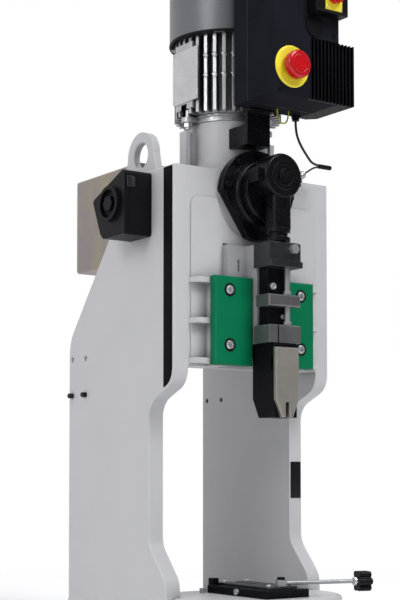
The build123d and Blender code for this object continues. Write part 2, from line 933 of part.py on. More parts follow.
# Ball bearings of the shaft, in the front wall and in the rear wall of the gear chamber
with BuildPart() as shaft_bearing:
    with BuildSketch(Plane.XZ.offset(-frame_front)):
        with Locations((0, shaft_z)):
            Circle(bearing_radius)
            Circle(shaft_radius + running, mode=Mode.SUBTRACT)
    extrude(amount=-bearing_width)
save(shaft_bearing.part, "shaft_bearing")

# Reduction gear unit in the chamber, with bores for the shaft and for the motor shaft
gear_z1 = head_z1 - head_wall
with BuildPart() as gear_unit:
    with BuildSketch(Plane.XY.offset(chamber_z0)):
        with Locations((0, (chamber_front + gear_rear) / 2)):
            RectangleRounded(2 * gear_half, gear_rear - chamber_front, 8)
    extrude(amount=gear_z1 - chamber_z0)
    with BuildSketch(Plane.XY.offset(gear_z1)):
        with Locations((0, motor_y)):
            Circle(neck_bore - clearance)
    extrude(amount=neck_z1 - gear_z1)
    with BuildSketch(Plane.XZ.offset(-chamber_front)):
        with Locations((0, shaft_z)):
            Circle(shaft_radius + running)
    extrude(amount=-(shaft_rear + clearance - chamber_front), mode=Mode.SUBTRACT)
    with BuildSketch(Plane.XY.offset(rotor_foot - clearance)):
        with Locations((0, motor_y)):
            Circle(motor_shaft_radius + running)
    extrude(amount=neck_z1 - rotor_foot + clearance, mode=Mode.SUBTRACT)
save(gear_unit.part, "gear_unit")

# Connecting rod: big end as a deep cap round the crank pin, ribbed neck, foot in the clamp block
with BuildPart() as connecting_rod:
    with BuildSketch(Plane.XZ.offset(-rod_back)):
        with Locations((0, pin_z)):
            Circle(big_end_radius)
    extrude(amount=big_end_depth)
    fillet(connecting_rod.faces().sort_by(Axis.Y)[0].edges(), 4)
    with BuildSketch(Plane.XZ.offset(-rod_back)):
        with Locations((0, pin_z)):
            Circle(big_end_bore)
    extrude(amount=big_end_depth - big_end_cap, mode=Mode.SUBTRACT)
    # Two ears beside the big end, where the cap is bolted
    with BuildSketch(Plane.XZ.offset(-rod_back)):
        with Locations((0, pin_z)):
            Rectangle(2 * (big_end_radius + rod_ear), rod_ear_height)
            Circle(big_end_bore + 1, mode=Mode.SUBTRACT)
    extrude(amount=big_end_depth - big_end_cap - 4)
    # Neck, collars and foot, turned about the rod's own axis
    with BuildSketch(Plane.XZ.offset(-rod_axis_y)):
        with BuildLine():
            Polyline(
                (0, rod_foot_z),
                (rod_foot_radius, rod_foot_z),
                (rod_foot_radius, rod_block_z1 + 2),
                (rod_ball_radius, rod_block_z1 + 2),
                (rod_ball_radius, rod_block_z1 + 2 + rod_collar),
                (rod_neck_radius, rod_block_z1 + 4 + rod_collar),
                (rod_neck_radius, rod_block_z1 + 9 + rod_collar),
                (rod_ball_radius, rod_block_z1 + 10 + rod_collar),
                (rod_ball_radius, rod_block_z1 + 10 + 2 * rod_collar),
                (rod_neck_radius, rod_block_z1 + 12 + 2 * rod_collar),
                (rod_neck_radius, pin_z - big_end_bore - 1),
                (0, pin_z - big_end_bore - 1),
                close=True,
            )
        make_face()
    revolve(axis=Axis((0, rod_axis_y, 0), (0, 0, 1)))
    # Wider shank between the upper collar and the big end
    shank_z0 = rod_block_z1 + 10 + 2 * rod_collar
    with BuildSketch(Plane.XY.offset(shank_z0)):
        with Locations((0, rod_axis_y)):
            RectangleRounded(rod_shank_width, 2 * rod_neck_radius, rod_shank_corner)
    extrude(amount=pin_z - big_end_bore - 1 - shank_z0)
save(connecting_rod.part, "connecting_rod")

# Motor flange and end shield on the neck
with BuildPart() as motor_flange:
    with BuildSketch(Plane.XY.offset(neck_z1)):
        with Locations((0, motor_y)):
            Circle(motor_flange_radius)
            with PolarLocations(stud_circle / 2, stud_count):
                Rectangle(stud_circle, 2 * ear_radius)
            with PolarLocations(stud_circle, stud_count):
                Circle(ear_radius)
            with PolarLocations(stud_circle, stud_count):
                Circle(stud_radius, mode=Mode.SUBTRACT)
    extrude(amount=motor_flange_height)
    with BuildSketch(Plane.XY.offset(flange_z1)):
        with Locations((0, motor_y)):
            Circle(end_shield_radius)
    extrude(amount=end_shield_height)
    with BuildSketch(Plane.XY.offset(neck_z1)):
        with Locations((0, motor_y)):
            Circle(motor_shaft_radius + running)
    extrude(amount=motor_flange_height + end_shield_height, mode=Mode.SUBTRACT)
save(motor_flange.part, "motor_flange")

# Studs through the ears of the flange, with their nuts below it
with BuildPart() as motor_studs:
    with BuildSketch(Plane.XY.offset(neck_z1 - stud_nut_height - stud_end)):
        with Locations((0, motor_y)):
            with PolarLocations(stud_circle, stud_count):
                Circle(stud_radius)
    extrude(amount=stud_end + stud_nut_height + motor_flange_height + stud_tail)
    with BuildSketch(Plane.XY.offset(neck_z1 - stud_nut_height)):
        with Locations((0, motor_y)):
            with PolarLocations(stud_circle, stud_count):
                RegularPolygon(stud_nut, 6)
    extrude(amount=stud_nut_height)
save(leg_screws.part + gib_screws.part + motor_studs.part, "frame_screws")

# Stator housing: tube with upright fins, a pad for the name plate and a console for the control box
with BuildPart() as stator_housing:
    with BuildSketch(Plane.XY.offset(stator_z0)):
        with Locations((0, motor_y)):
            Circle(stator_tube_radius)
            with PolarLocations((stator_core_radius + fin_radius) / 2, fin_count):
                Rectangle(fin_radius - stator_core_radius, fin_thickness)
            Circle(stator_core_radius, mode=Mode.SUBTRACT)
    extrude(amount=stator_height)
    with BuildSketch(Plane.XY.offset(stator_z0 + pad_lift)):
        with Locations((-(fin_radius + stator_tube_radius - pad_root) / 2, motor_y)):
            Rectangle(fin_radius - stator_tube_radius + pad_root, pad_width)
        with Locations((0, (motor_y - stator_tube_radius + pad_root + box_rear) / 2)):
            Rectangle(pad_width, motor_y - stator_tube_radius + pad_root - box_rear)
    extrude(amount=stator_height - 2 * pad_lift)
    # Pockets between the fins for the ends of the studs
    with BuildSketch(Plane.XY.offset(stator_z0)):
        with Locations((0, motor_y)):
            with PolarLocations(stud_circle, stud_count):
                Circle(stud_pocket)
    extrude(amount=stud_pocket_height, mode=Mode.SUBTRACT)
save(stator_housing.part, "stator_housing")

# Stator core with its windings, pressed into the housing
with BuildPart() as stator_core:
    with BuildSketch(Plane.XY.offset(stator_z0 + core_inset)):
        with Locations((0, motor_y)):
            Circle(stator_core_radius)
            Circle(rotor_radius + air_gap, mode=Mode.SUBTRACT)
    extrude(amount=stator_height - 2 * core_inset)
save(stator_core.part, "stator_core")

# Rear end shield with four arms that carry the fan cover
with BuildPart() as rear_shield:
    with BuildSketch(Plane.XY.offset(stator_z1)):
        with Locations((0, motor_y)):
            Circle(stator_tube_radius)
            with PolarLocations(stator_tube_radius / 2 + cowl_radius / 2 - cowl_wall, stud_count, start_angle=45):
                Rectangle(cowl_radius - stator_tube_radius, arm_width)
            Circle(motor_shaft_radius + running, mode=Mode.SUBTRACT)
        with Locations((0, motor_y)):
            Circle(cowl_radius - cowl_wall, mode=Mode.INTERSECT)
    extrude(amount=shield_thickness)
    with BuildSketch(Plane.XY.offset(stator_z1)):
        with Locations((0, motor_y)):
            Circle(motor_shaft_radius + running)
    extrude(amount=shield_thickness, mode=Mode.SUBTRACT)
save(rear_shield.part, "rear_shield")

# Rotor with its shaft, from the gear unit up to the fan
rotor_z1 = stator_z1 + fan_lift + fan_height
with BuildPart() as rotor:
    with BuildSketch(Plane.XY.offset(rotor_foot)):
        with Locations((0, motor_y)):
            Circle(motor_shaft_radius)
    extrude(amount=rotor_z1 - rotor_foot)
    with BuildSketch(Plane.XY.offset(stator_z0 + core_inset)):
        with Locations((0, motor_y)):
            Circle(rotor_radius)
    extrude(amount=stator_height - 2 * core_inset)
save(rotor.part, "rotor")

# Cooling fan on the upper shaft end
with BuildPart() as fan:
    with BuildSketch(Plane.XY.offset(stator_z1 + fan_lift)):
        with Locations((0, motor_y)):
            Circle(fan_radius)
    extrude(amount=fan_disc)
    with BuildSketch(Plane.XY.offset(stator_z1 + fan_lift)):
        with Locations((0, motor_y)):
            Circle(fan_hub_radius)
            with PolarLocations((fan_radius + fan_hub_radius) / 2, fan_blade_count):
                Rectangle(fan_radius - fan_hub_radius + 4, fan_disc)
    extrude(amount=fan_height)
    with BuildSketch(Plane.XY.offset(stator_z1 + fan_lift)):
        with Locations((0, motor_y)):
            Circle(motor_shaft_radius)
    extrude(amount=fan_height, mode=Mode.SUBTRACT)
save(fan.part, "fan")

# Fan cover: drawn sheet cowl, open below, with ring slots in its top
with BuildPart() as fan_cover:
    with BuildSketch(Plane.XY.offset(stator_z1)):
        with Locations((0, motor_y)):
            Circle(cowl_radius)
    extrude(amount=cowl_height)
    fillet(fan_cover.edges().group_by(Axis.Z)[-1], cowl_corner)
    with BuildSketch(Plane.XY.offset(stator_z1)):
        with Locations((0, motor_y)):
            Circle(cowl_radius - cowl_wall)
    extrude(amount=cowl_height - cowl_corner, mode=Mode.SUBTRACT)
    with BuildSketch(Plane.XY.offset(cowl_z1 - cowl_corner - 1)):
        with Locations((0, motor_y)):
            Circle(cowl_radius - cowl_corner)
    extrude(amount=1 + cowl_corner - cowl_wall, mode=Mode.SUBTRACT)
    with BuildSketch(Plane.XY.offset(cowl_z1 - cowl_wall)):
        for ring in vent_rings:
            margin = degrees((vent_width + vent_bar) / ring)
            with Locations((0, motor_y)):
                with PolarLocations(0, vent_spokes):
                    SlotArc(CenterArc((0, 0), ring, margin / 2, 360 / vent_spokes - margin), vent_width)
    extrude(amount=cowl_wall, mode=Mode.SUBTRACT)
save(fan_cover.part, "fan_cover")

# Blank name plate on the left pad of the motor
with BuildPart() as motor_plate:
    with BuildSketch(Plane.YZ.offset(-fin_radius - plate_skin)):
        with Locations((motor_y - 5, stator_z0 + stator_height / 2)):
            RectangleRounded(badge_width, badge_height, 3)
    extrude(amount=plate_skin)
save(motor_plate.part, "motor_plate")

# Black bracket that carries the box on the front of the neck
with BuildPart() as box_bracket:
    with BuildSketch(Plane.YZ.offset(bracket_x0)):
        with BuildLine():
            Polyline(
                (motor_y, bracket_z0),
                (box_rear - bracket_wall, bracket_z0),
                (box_rear - bracket_wall, box_z0 - bracket_wall),
                (box_rear - bracket_foot, box_z0 - bracket_wall),
                (box_rear - bracket_foot, box_z0),
                (box_rear + bracket_wall, box_z0),
                (box_rear + bracket_wall, bracket_z1),
                (motor_y, bracket_z1),
                close=True,
            )
        make_face()
    extrude(amount=bracket_x1 - bracket_x0)
    with BuildSketch(Plane.XY.offset(bracket_z0)):
        with Locations((0, motor_y)):
            Circle(neck_radius)
    extrude(amount=bracket_z1 - bracket_z0, mode=Mode.SUBTRACT)
    add(head_casting.part, mode=Mode.SUBTRACT)
save(box_bracket.part, "box_bracket")


def box_shell(name, y_open, y_closed):
    """One half of the control box, hollow towards its seam at y_open."""
    low, high = min(y_open, y_closed), max(y_open, y_closed)
    inner = y_closed + box_wall if y_closed < y_open else y_closed - box_wall
    with BuildPart() as shell:
        with BuildSketch(Plane.XY.offset(box_z0)):
            with Locations(((box_x0 + box_x1) / 2, (low + high) / 2)):
                Rectangle(box_x1 - box_x0, high - low)
        extrude(amount=box_height)
        closed_face = shell.faces().sort_by(Axis.Y)[0 if y_closed < y_open else -1]
        fillet(closed_face.edges(), box_corner)
        with BuildSketch(Plane.XY.offset(box_z0 + box_wall)):
            with Locations(((box_x0 + box_x1) / 2, (y_open + inner) / 2)):
                Rectangle(box_x1 - box_x0 - 2 * box_wall, abs(y_open - inner))
        extrude(amount=box_height - 2 * box_wall, mode=Mode.SUBTRACT)
        if name == "control_box_cover":
            # Recess for the heat sink and the opening of the emergency stop
            with BuildSketch(Plane.XY.offset(box_z0)):
                with Locations(((sink_x0 + box_x1) / 2, box_front + sink_recess / 2)):
                    Rectangle(box_x1 - sink_x0, sink_recess)
            extrude(amount=sink_height, mode=Mode.SUBTRACT)
            with BuildSketch(Plane.XY.offset(box_z0 + box_wall)):
                with Locations(((sink_x0 + box_x1) / 2 - box_wall, box_front + sink_recess + box_wall / 2)):
                    Rectangle(box_x1 - sink_x0, box_wall)
            extrude(amount=sink_height, mode=Mode.ADD)
            with BuildSketch(Plane.XZ.offset(-box_front)):
                with Locations((stop_x, stop_z)):
                    Circle(stop_stem_radius + running)
            extrude(amount=-box_wall, mode=Mode.SUBTRACT)
    save(shell.part, name)


seam_y = box_rear - box_seam
stop_z = box_z0 + stop_lift
box_shell("control_box_rear", seam_y, box_rear)
box_shell("control_box_cover", seam_y, box_front)

# Heat sink: a plate in the recess of the cover, a block beside the box, and upright fins
with BuildPart() as heat_sink:
    with BuildSketch(Plane.XY.offset(box_z0)):
        with BuildLine():
            Polyline(
                (sink_x0, box_front + sink_recess),
                (sink_x0, box_front + sink_recess - sink_plate),
                (sink_x1, box_front + sink_recess - sink_plate),
                (sink_x1, box_rear - sink_bevel),
                (sink_x1 - sink_bevel, box_rear),
                (box_x1, box_rear),
                (box_x1, box_front + sink_recess),
                close=True,
            )
        make_face()
        sink_pitch = (sink_x1 - sink_x0 - sink_fin) / (sink_fin_count - 1)
        for step in range(sink_fin_count):
            with Locations((sink_x0 + sink_fin / 2 + step * sink_pitch, box_front + (sink_recess - sink_plate) / 2)):
                Rectangle(sink_fin, sink_recess - sink_plate)
    extrude(amount=sink_height)
save(heat_sink.part, "heat_sink")

# Screws in the corners of the box cover
with BuildPart() as box_screws:
    with BuildSketch(Plane.XZ.offset(-box_front)):
        with Locations(
            (box_x0 + box_screw_inset, box_z1 - box_screw_inset),
            (box_x1 - box_screw_inset, box_z0 + sink_height + box_screw_inset),
            (box_x0 + box_screw_inset, box_z0 + box_screw_inset / 2),
        ):
            Circle(box_screw_radius)
    extrude(amount=2)

# Blind plug over an unused opening
with BuildPart() as blind_plug:
    with BuildSketch(Plane.XZ.offset(-box_front)):
        with Locations((plug_x, box_z0 + plug_lift)):
            Circle(plug_radius)
    extrude(amount=plug_thickness)
    chamfer(blind_plug.faces().sort_by(Axis.Y)[0].edges(), 1)
save(blind_plug.part, "blind_plug")

# Yellow disc of the emergency stop
stop_face = box_front - stop_disc_thickness
with BuildPart() as stop_disc:
    with BuildSketch(Plane.XZ.offset(-box_front)):
        with Locations((stop_x, stop_z)):
            Circle(stop_disc_radius)
            Circle(stop_stem_radius + running, mode=Mode.SUBTRACT)
    extrude(amount=stop_disc_thickness)
    chamfer(stop_disc.faces().sort_by(Axis.Y)[0].outer_wire().edges(), 2)
save(stop_disc.part, "stop_disc")

# Red mushroom button, drawn out by its travel
with BuildPart() as stop_button:
    with BuildSketch(Plane.XZ.offset(-stop_face + stop_travel + clearance)):
        with Locations((stop_x, stop_z)):
            Circle(stop_head_radius)
    extrude(amount=stop_head_length)
    fillet(stop_button.faces().sort_by(Axis.Y)[0].edges(), 4)
    with BuildSketch(Plane.XZ.offset(-stop_face + stop_travel + clearance)):
        with Locations((stop_x, stop_z)):
            Circle(stop_stem_radius)
    extrude(amount=-(stop_travel + clearance + stop_disc_thickness + box_wall))
save(stop_button.part, "stop_button")

# Main switch: housing, yellow plate and rotary handle
switch_z0 = box_z0 + switch_lift
switch_x = (switch_x0 + switch_x1) / 2
switch_z = switch_z0 + switch_plate_lift + switch_plate_height / 2
switch_front = box_front - switch_depth
with BuildPart() as switch_housing:
    with BuildSketch(Plane.XY.offset(switch_z0)):
        with Locations((switch_x, box_front - switch_depth / 2)):
            Rectangle(switch_x1 - switch_x0, switch_depth)
    extrude(amount=switch_height)
    chamfer(switch_housing.faces().sort_by(Axis.Y)[0].edges(), 3)
    with BuildSketch(Plane.XZ.offset(-switch_front)):
        with Locations((switch_x, switch_z)):
            Circle(handle_stem + running)
    extrude(amount=-handle_seat, mode=Mode.SUBTRACT)
save(switch_housing.part, "switch_housing")

with BuildPart() as switch_plate:
    with BuildSketch(Plane.XZ.offset(-switch_front)):
        with Locations((switch_x, switch_z)):
            Rectangle(switch_plate_width, switch_plate_height)
            Circle(handle_stem + running, mode=Mode.SUBTRACT)
    extrude(amount=switch_plate_thickness)
save(switch_plate.part, "switch_plate")

with BuildPart() as switch_handle:
    with BuildSketch(Plane.XZ.offset(-switch_front + switch_plate_thickness + clearance)):
        with Locations((switch_x, switch_z)):
            Circle(handle_radius)
    extrude(amount=handle_length / 2)
    with BuildSketch(Plane.XZ.offset(-switch_front + switch_plate_thickness + clearance + handle_length / 2)):
        with Locations((switch_x, switch_z)):
            SlotOverall(2 * handle_radius - 2, handle_grip, rotation=90)
    extrude(amount=handle_length / 2)
    with BuildSketch(Plane.XZ.offset(-switch_front + switch_plate_thickness + clearance)):
        with Locations((switch_x, switch_z)):
            Circle(handle_stem)
    extrude(amount=-(switch_plate_thickness + clearance + handle_seat - clearance))
save(switch_handle.part, "switch_handle")


def side_outline(inset):
    """The five-cornered outline of the side housing, smaller all round by the inset."""
    with BuildSketch(Plane.YZ) as outline:
        with BuildLine():
            Polyline(
                (side_front, side_low),
                (side_front, side_high),
                (side_knee, side_high - side_slope),
                (side_low_rear, side_low + side_lip),
                (side_low_rear - side_lip, side_low),
                close=True,
            )
        make_face()
        fillet(outline.vertices(), side_corner)
        if inset:
            offset(amount=-inset)
    return outline.sketch_local


# Side housing on the left cheek: a hollow body open towards the cover
with BuildPart() as side_housing:
    with BuildSketch(Plane.YZ.offset(-half_width - side_body_depth)):
        add(side_outline(0))
    extrude(amount=side_body_depth)
    with BuildSketch(Plane.YZ.offset(-half_width - side_body_depth)):
        add(side_outline(side_wall))
    extrude(amount=side_body_depth - side_wall, mode=Mode.SUBTRACT)
save(side_housing.part, "side_housing")

# Red gasket between the body and its cover
with BuildPart() as side_gasket:
    with BuildSketch(Plane.YZ.offset(-half_width - side_body_depth - gasket)):
        add(side_outline(gasket))
    extrude(amount=gasket)
save(side_gasket.part, "side_gasket")

# Cover with a raised ring and a hexagonal hub in its middle
with BuildPart() as side_cover:
    with BuildSketch(Plane.YZ.offset(-half_width - side_depth)):
        add(side_outline(0))
    extrude(amount=side_depth - side_body_depth - gasket)
    with BuildSketch(Plane.YZ.offset(-half_width - side_depth)):
        with Locations((side_cap_y, side_cap_z)):
            Circle(side_cap_radius)
            Circle(side_cap_radius - side_cap_ring, mode=Mode.SUBTRACT)
    extrude(amount=-side_cap_depth)
    with BuildSketch(Plane.YZ.offset(-half_width - side_depth)):
        with Locations((side_cap_y, side_cap_z)):
            RegularPolygon(side_hub_radius, 6)
    extrude(amount=-side_cap_depth)
save(side_cover.part, "side_cover")


def latch(name, y, z, angle):
    """A bright latch across the seam of the side housing, on the face whose normal has this angle."""
    face = Plane(
        origin=(-half_width - side_body_depth - gasket / 2, y, z),
        x_dir=(1, 0, 0),
        z_dir=(0, cos(radians(angle)), sin(radians(angle))),
    )
    with BuildPart() as clip:
        with BuildSketch(face.offset(latch_gap)):
            RectangleRounded(latch_length, latch_width, latch_corner)
        extrude(amount=latch_thickness)
        with BuildSketch(face.offset(latch_gap + latch_thickness)):
            with Locations(((latch_length - latch_lip) / 2, 0)):
                Rectangle(latch_lip, latch_width - 2 * latch_corner)
        extrude(amount=latch_thickness)
    save(clip.part, name)


# The upper latch sits on the front face, the lower one on the face that slopes to the rear
lower_slope = degrees(atan2(side_knee - side_low_rear, side_high - side_slope - side_low - side_lip))
latch("front_latch", side_front, side_high - latch_drop, 180)
rear_face_y = (side_knee + 2 * side_low_rear) / 3
rear_face_z = (side_high - side_slope + 2 * (side_low + side_lip)) / 3
latch("rear_latch", rear_face_y, rear_face_z, -lower_slope)

# Rear cabinet: folded sheet box behind the head, open to the rear
cabinet_z0 = head_z1 + cabinet_low
cabinet_z1 = head_z1 + cabinet_high
with BuildPart() as rear_cabinet:
    with BuildSketch(Plane.XY.offset(cabinet_z0)):
        with Locations((0, (head_rear + cabinet_rear) / 2)):
            Rectangle(2 * cabinet_half, cabinet_rear - head_rear)
    extrude(amount=cabinet_z1 - cabinet_z0)
    fillet(rear_cabinet.edges().filter_by(Axis.Y), cabinet_bend)
    with BuildSketch(Plane.XZ.offset(-cabinet_rear)):
        with Locations((0, (cabinet_z0 + cabinet_z1) / 2)):
            RectangleRounded(
                2 * (cabinet_half - cabinet_wall),
                cabinet_z1 - cabinet_z0 - 2 * cabinet_wall,
                cabinet_bend - cabinet_wall,
            )
    extrude(amount=cabinet_rear - head_rear - cabinet_wall, mode=Mode.SUBTRACT)
save(rear_cabinet.part, "rear_cabinet")

# Lid of the cabinet, with a rim that enters it
with BuildPart() as cabinet_lid:
    with BuildSketch(Plane.XZ.offset(-cabinet_rear)):
        with Locations((0, (cabinet_z0 + cabinet_z1) / 2)):
            RectangleRounded(2 * cabinet_half, cabinet_z1 - cabinet_z0, cabinet_bend)
    extrude(amount=-cabinet_wall)
    rim_half = cabinet_half - cabinet_wall - clearance
    rim_height = cabinet_z1 - cabinet_z0 - 2 * (cabinet_wall + clearance)
    with BuildSketch(Plane.XZ.offset(-cabinet_rear)):
        with Locations((0, (cabinet_z0 + cabinet_z1) / 2)):
            RectangleRounded(2 * rim_half, rim_height, cabinet_bend)
            Rectangle(2 * (rim_half - cabinet_wall), rim_height - 2 * cabinet_wall, mode=Mode.SUBTRACT)
    extrude(amount=lid_rim)
save(cabinet_lid.part, "cabinet_lid")

# Lid screws
with BuildPart() as lid_screws:
    with BuildSketch(Plane.XZ.offset(-cabinet_rear - cabinet_wall)):
        with Locations((0, (cabinet_z0 + cabinet_z1) / 2)):
            with GridLocations(
                2 * (cabinet_half - lid_screw_inset), cabinet_z1 - cabinet_z0 - 2 * lid_screw_inset, 2, 2
            ):
                Circle(lid_screw_radius)
    extrude(amount=-lid_screw_height)

# Quick clamp: black clamp plate with a stop block in its rear left corner
with BuildPart() as clamp_plate:
    with BuildSketch(Plane.XY.offset(table_z)):
        with Locations(((plate_x0 + plate_x1) / 2, (plate_front + plate_rear) / 2)):
            Rectangle(plate_x1 - plate_x0, plate_rear - plate_front)
    extrude(amount=plate_thickness)
    chamfer(clamp_plate.edges().group_by(Axis.Z)[-1], 1)
    with BuildSketch(Plane.XY.offset(table_z + plate_thickness - 1)):
        with Locations((plate_x0 + 1 + stop_block / 2, plate_rear - 1 - stop_block / 2)):
            Rectangle(stop_block, stop_block)
    extrude(amount=stop_block)
save(clamp_plate.part, "clamp_plate")

# Bright top plate of the clamp, with a slot for the tool's foot
top_plate_z = table_z + plate_thickness
with BuildPart() as clamp_top_plate:
    with BuildSketch(Plane.XY.offset(top_plate_z)):
        with Locations(((plate_x0 + plate_x1) / 2, (plate_front + plate_rear) / 2)):
            Rectangle(plate_x1 - plate_x0 - 2 * top_plate_inset, plate_rear - plate_front - 2 * top_plate_inset)
        with Locations(((plate_x0 + plate_x1) / 2, plate_rear - top_plate_inset - tool_slot_length / 2)):
            Rectangle(tool_slot_width, tool_slot_length, mode=Mode.SUBTRACT)
    extrude(amount=top_plate_thickness)
    chamfer(clamp_top_plate.edges().group_by(Axis.Z)[-1], 0.8)
    with BuildSketch(Plane.XY.offset(top_plate_z)):
        with Locations((lever_x, lever_y)):
            Circle(pivot_radius + running)
    extrude(amount=top_plate_thickness, mode=Mode.SUBTRACT)
save(clamp_top_plate.part, "clamp_top_plate")

# Pivot screw of the lever, standing on the clamp plate
lever_z0 = top_plate_z + top_plate_thickness + running
lever_z1 = lever_z0 + lever_hub_height
with BuildPart() as lever_pivot:
    with BuildSketch(Plane.XY.offset(top_plate_z)):
        with Locations((lever_x, lever_y)):
            Circle(pivot_radius)
    extrude(amount=lever_z1 + running - top_plate_z)
    with BuildSketch(Plane.XY.offset(lever_z1 + running)):
        with Locations((lever_x, lever_y)):
            Circle(knob_radius + 1)
    extrude(amount=pivot_head)
    fillet(lever_pivot.edges().group_by(Axis.Z)[-1], 1.5)

# Lever: hub on the pivot and a thin rod to the star knob
reach = hypot(lever_tip_x - lever_x, lever_tip_y - lever_y)
lever_axis = Vector(lever_tip_x - lever_x, lever_tip_y - lever_y, 0) / reach
rod_z = (lever_z0 + lever_z1) / 2
rod_start = Plane(origin=Vector(lever_x, lever_y, rod_z) + lever_axis * (lever_hub_radius - 2), z_dir=lever_axis)
with BuildPart() as clamp_lever:
    with BuildSketch(rod_start):
        Circle(lever_rod_radius)
    extrude(amount=reach - lever_hub_radius - star_thickness / 2 + 2)
    with BuildSketch(Plane.XY.offset(lever_z0)):
        with Locations((lever_x, lever_y)):
            Circle(lever_hub_radius)
    extrude(amount=lever_hub_height)
    with BuildSketch(Plane.XY.offset(lever_z0)):
        with Locations((lever_x, lever_y)):
            Circle(pivot_radius + running)
    extrude(amount=lever_hub_height, mode=Mode.SUBTRACT)
save(clamp_lever.part, "clamp_lever")

# Star knob on the end of the lever
star_start = Plane(origin=Vector(lever_tip_x, lever_tip_y, rod_z) - lever_axis * star_thickness / 2, z_dir=lever_axis)
with BuildPart() as star_knob:
    with BuildSketch(star_start):
        Circle(star_radius - star_lobe)
        with PolarLocations(star_radius - star_lobe, star_lobes):
            Circle(star_lobe)
    extrude(amount=star_thickness)
    fillet(star_knob.faces().sort_by(Axis((0, 0, 0), tuple(lever_axis)))[-1].edges(), 2)
save(star_knob.part, "star_knob")

# Screws of the clamp: one in the left flank of the plate, one on the table behind it
with BuildPart() as clamp_screws:
    with BuildSketch(Plane.YZ.offset(plate_x0)):
        with Locations((flank_screw_y, table_z + plate_thickness / 2)):
            Circle(flank_screw_radius)
    extrude(amount=-flank_screw_height)
    with BuildSketch(Plane.XY.offset(table_z)):
        with Locations((plate_x0 - flank_screw_radius - 3, plate_rear + 2)):
            RegularPolygon(flank_screw_radius + 1, 6)
    extrude(amount=2 * flank_screw_height)
save(flange_screws.part + box_screws.part + lever_pivot.part, "black_screws")
save(lid_screws.part + clamp_screws.part, "zinc_screws")

# Sensor that looks at the rim of the crank disc, tilted to the upper right
sensor_axis = Vector(cos(radians(sensor_angle)), 0, sin(radians(sensor_angle)))
sensor_y = (crank_back + crank_front) / 2
shaft_centre = Vector(0, sensor_y, shaft_z)
sensor_start = Plane(origin=shaft_centre + sensor_axis * (crank_radius + sensor_gap), z_dir=sensor_axis)
with BuildPart() as sensor:
    with BuildSketch(sensor_start):
        Circle(sensor_radius)
    extrude(amount=sensor_length)
    with BuildSketch(sensor_start.offset(bracket_distance - sensor_nut)):
        RegularPolygon(sensor_radius + 2.5, 6)
    extrude(amount=sensor_nut)
    with BuildSketch(sensor_start.offset(bracket_distance + sensor_bracket_thickness)):
        RegularPolygon(sensor_radius + 2.5, 6)
    extrude(amount=sensor_nut)
save(sensor.part, "sensor")

# Bracket of the sensor on the rim of the bearing flange
bracket_plane = sensor_start.offset(bracket_distance)
bracket_back = flange_y - sensor_y
bracket_nose = sensor_radius + bracket_margin
with BuildPart() as sensor_bracket:
    with BuildSketch(Plane(origin=bracket_plane.origin, x_dir=(0, 1, 0), z_dir=sensor_axis)):
        with Locations(((bracket_back - bracket_nose) / 2, 0)):
            Rectangle(bracket_back + bracket_nose, 2 * sensor_radius + bracket_margin)
        Circle(sensor_radius, mode=Mode.SUBTRACT)
    extrude(amount=sensor_bracket_thickness)
save(sensor_bracket.part, "sensor_bracket")

# Sleeve where the sensor lead meets the control cable
with BuildPart() as cable_sleeve:
    with BuildSketch(Plane.YZ.offset(sleeve_x)):
        with Locations((sleeve_y, sleeve_z)):
            Circle(sleeve_radius)
    extrude(amount=sleeve_length)
    fillet(cable_sleeve.faces().sort_by(Axis.X)[-1].edges(), 2.5)

# Gland of the control cable under the box
with BuildPart() as cable_gland:
    with BuildSketch(Plane.XY.offset(box_z0 - gland_length)):
        with Locations((gland_x, gland_y)):
            Circle(gland_radius - 1.5)
    extrude(amount=gland_length)
    with BuildSketch(Plane.XY.offset(box_z0 - gland_length / 2)):
        with Locations((gland_x, gland_y)):
            RegularPolygon(gland_radius, 6)
    extrude(amount=gland_length / 2)
save(cable_sleeve.part + cable_gland.part, "cable_fittings")

# Cords, each from its fitting to the next one
sensor_end = shaft_centre + sensor_axis * (crank_radius + sensor_gap + sensor_length)
cord(
    [
        sensor_end,
        sensor_end + sensor_axis * 9,
        Vector(sleeve_x - 8, sleeve_y, sleeve_z - cable_radius),
        Vector(sleeve_x, sleeve_y, sleeve_z - cable_radius),
    ],
    lead_radius,
    "sensor_lead",
)
cable_top = box_z0 - gland_length
cord(
    [
        Vector(gland_x, gland_y, cable_top),
        *(Vector(gland_x + x, gland_y - y, cable_top - z) for x, y, z in cable_sag),
        Vector(sleeve_x - 12, sleeve_y, sleeve_z + lead_radius),
        Vector(sleeve_x, sleeve_y, sleeve_z + lead_radius),
    ],
    cable_radius,
    "control_cable",
)
cord(
    [
        Vector(earth_x, earth_y, box_z0),
        Vector(earth_x, earth_y, box_z0 - earth_sag / 2),
        Vector(earth_x + earth_bend, earth_y, box_z0 - earth_sag),
        Vector(earth_x + earth_span - earth_bend, earth_y, box_z0 - earth_sag),
        Vector(earth_x + earth_span, earth_y, box_z0 - earth_sag / 2),
        Vector(earth_x + earth_span, earth_y, box_z0),
    ],
    earth_radius,
    "earth_wire",
)
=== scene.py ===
# Terminal crimping machine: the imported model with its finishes, small fittings and cables.
import math

import bmesh
import bpy
from mathutils import Matrix, Vector


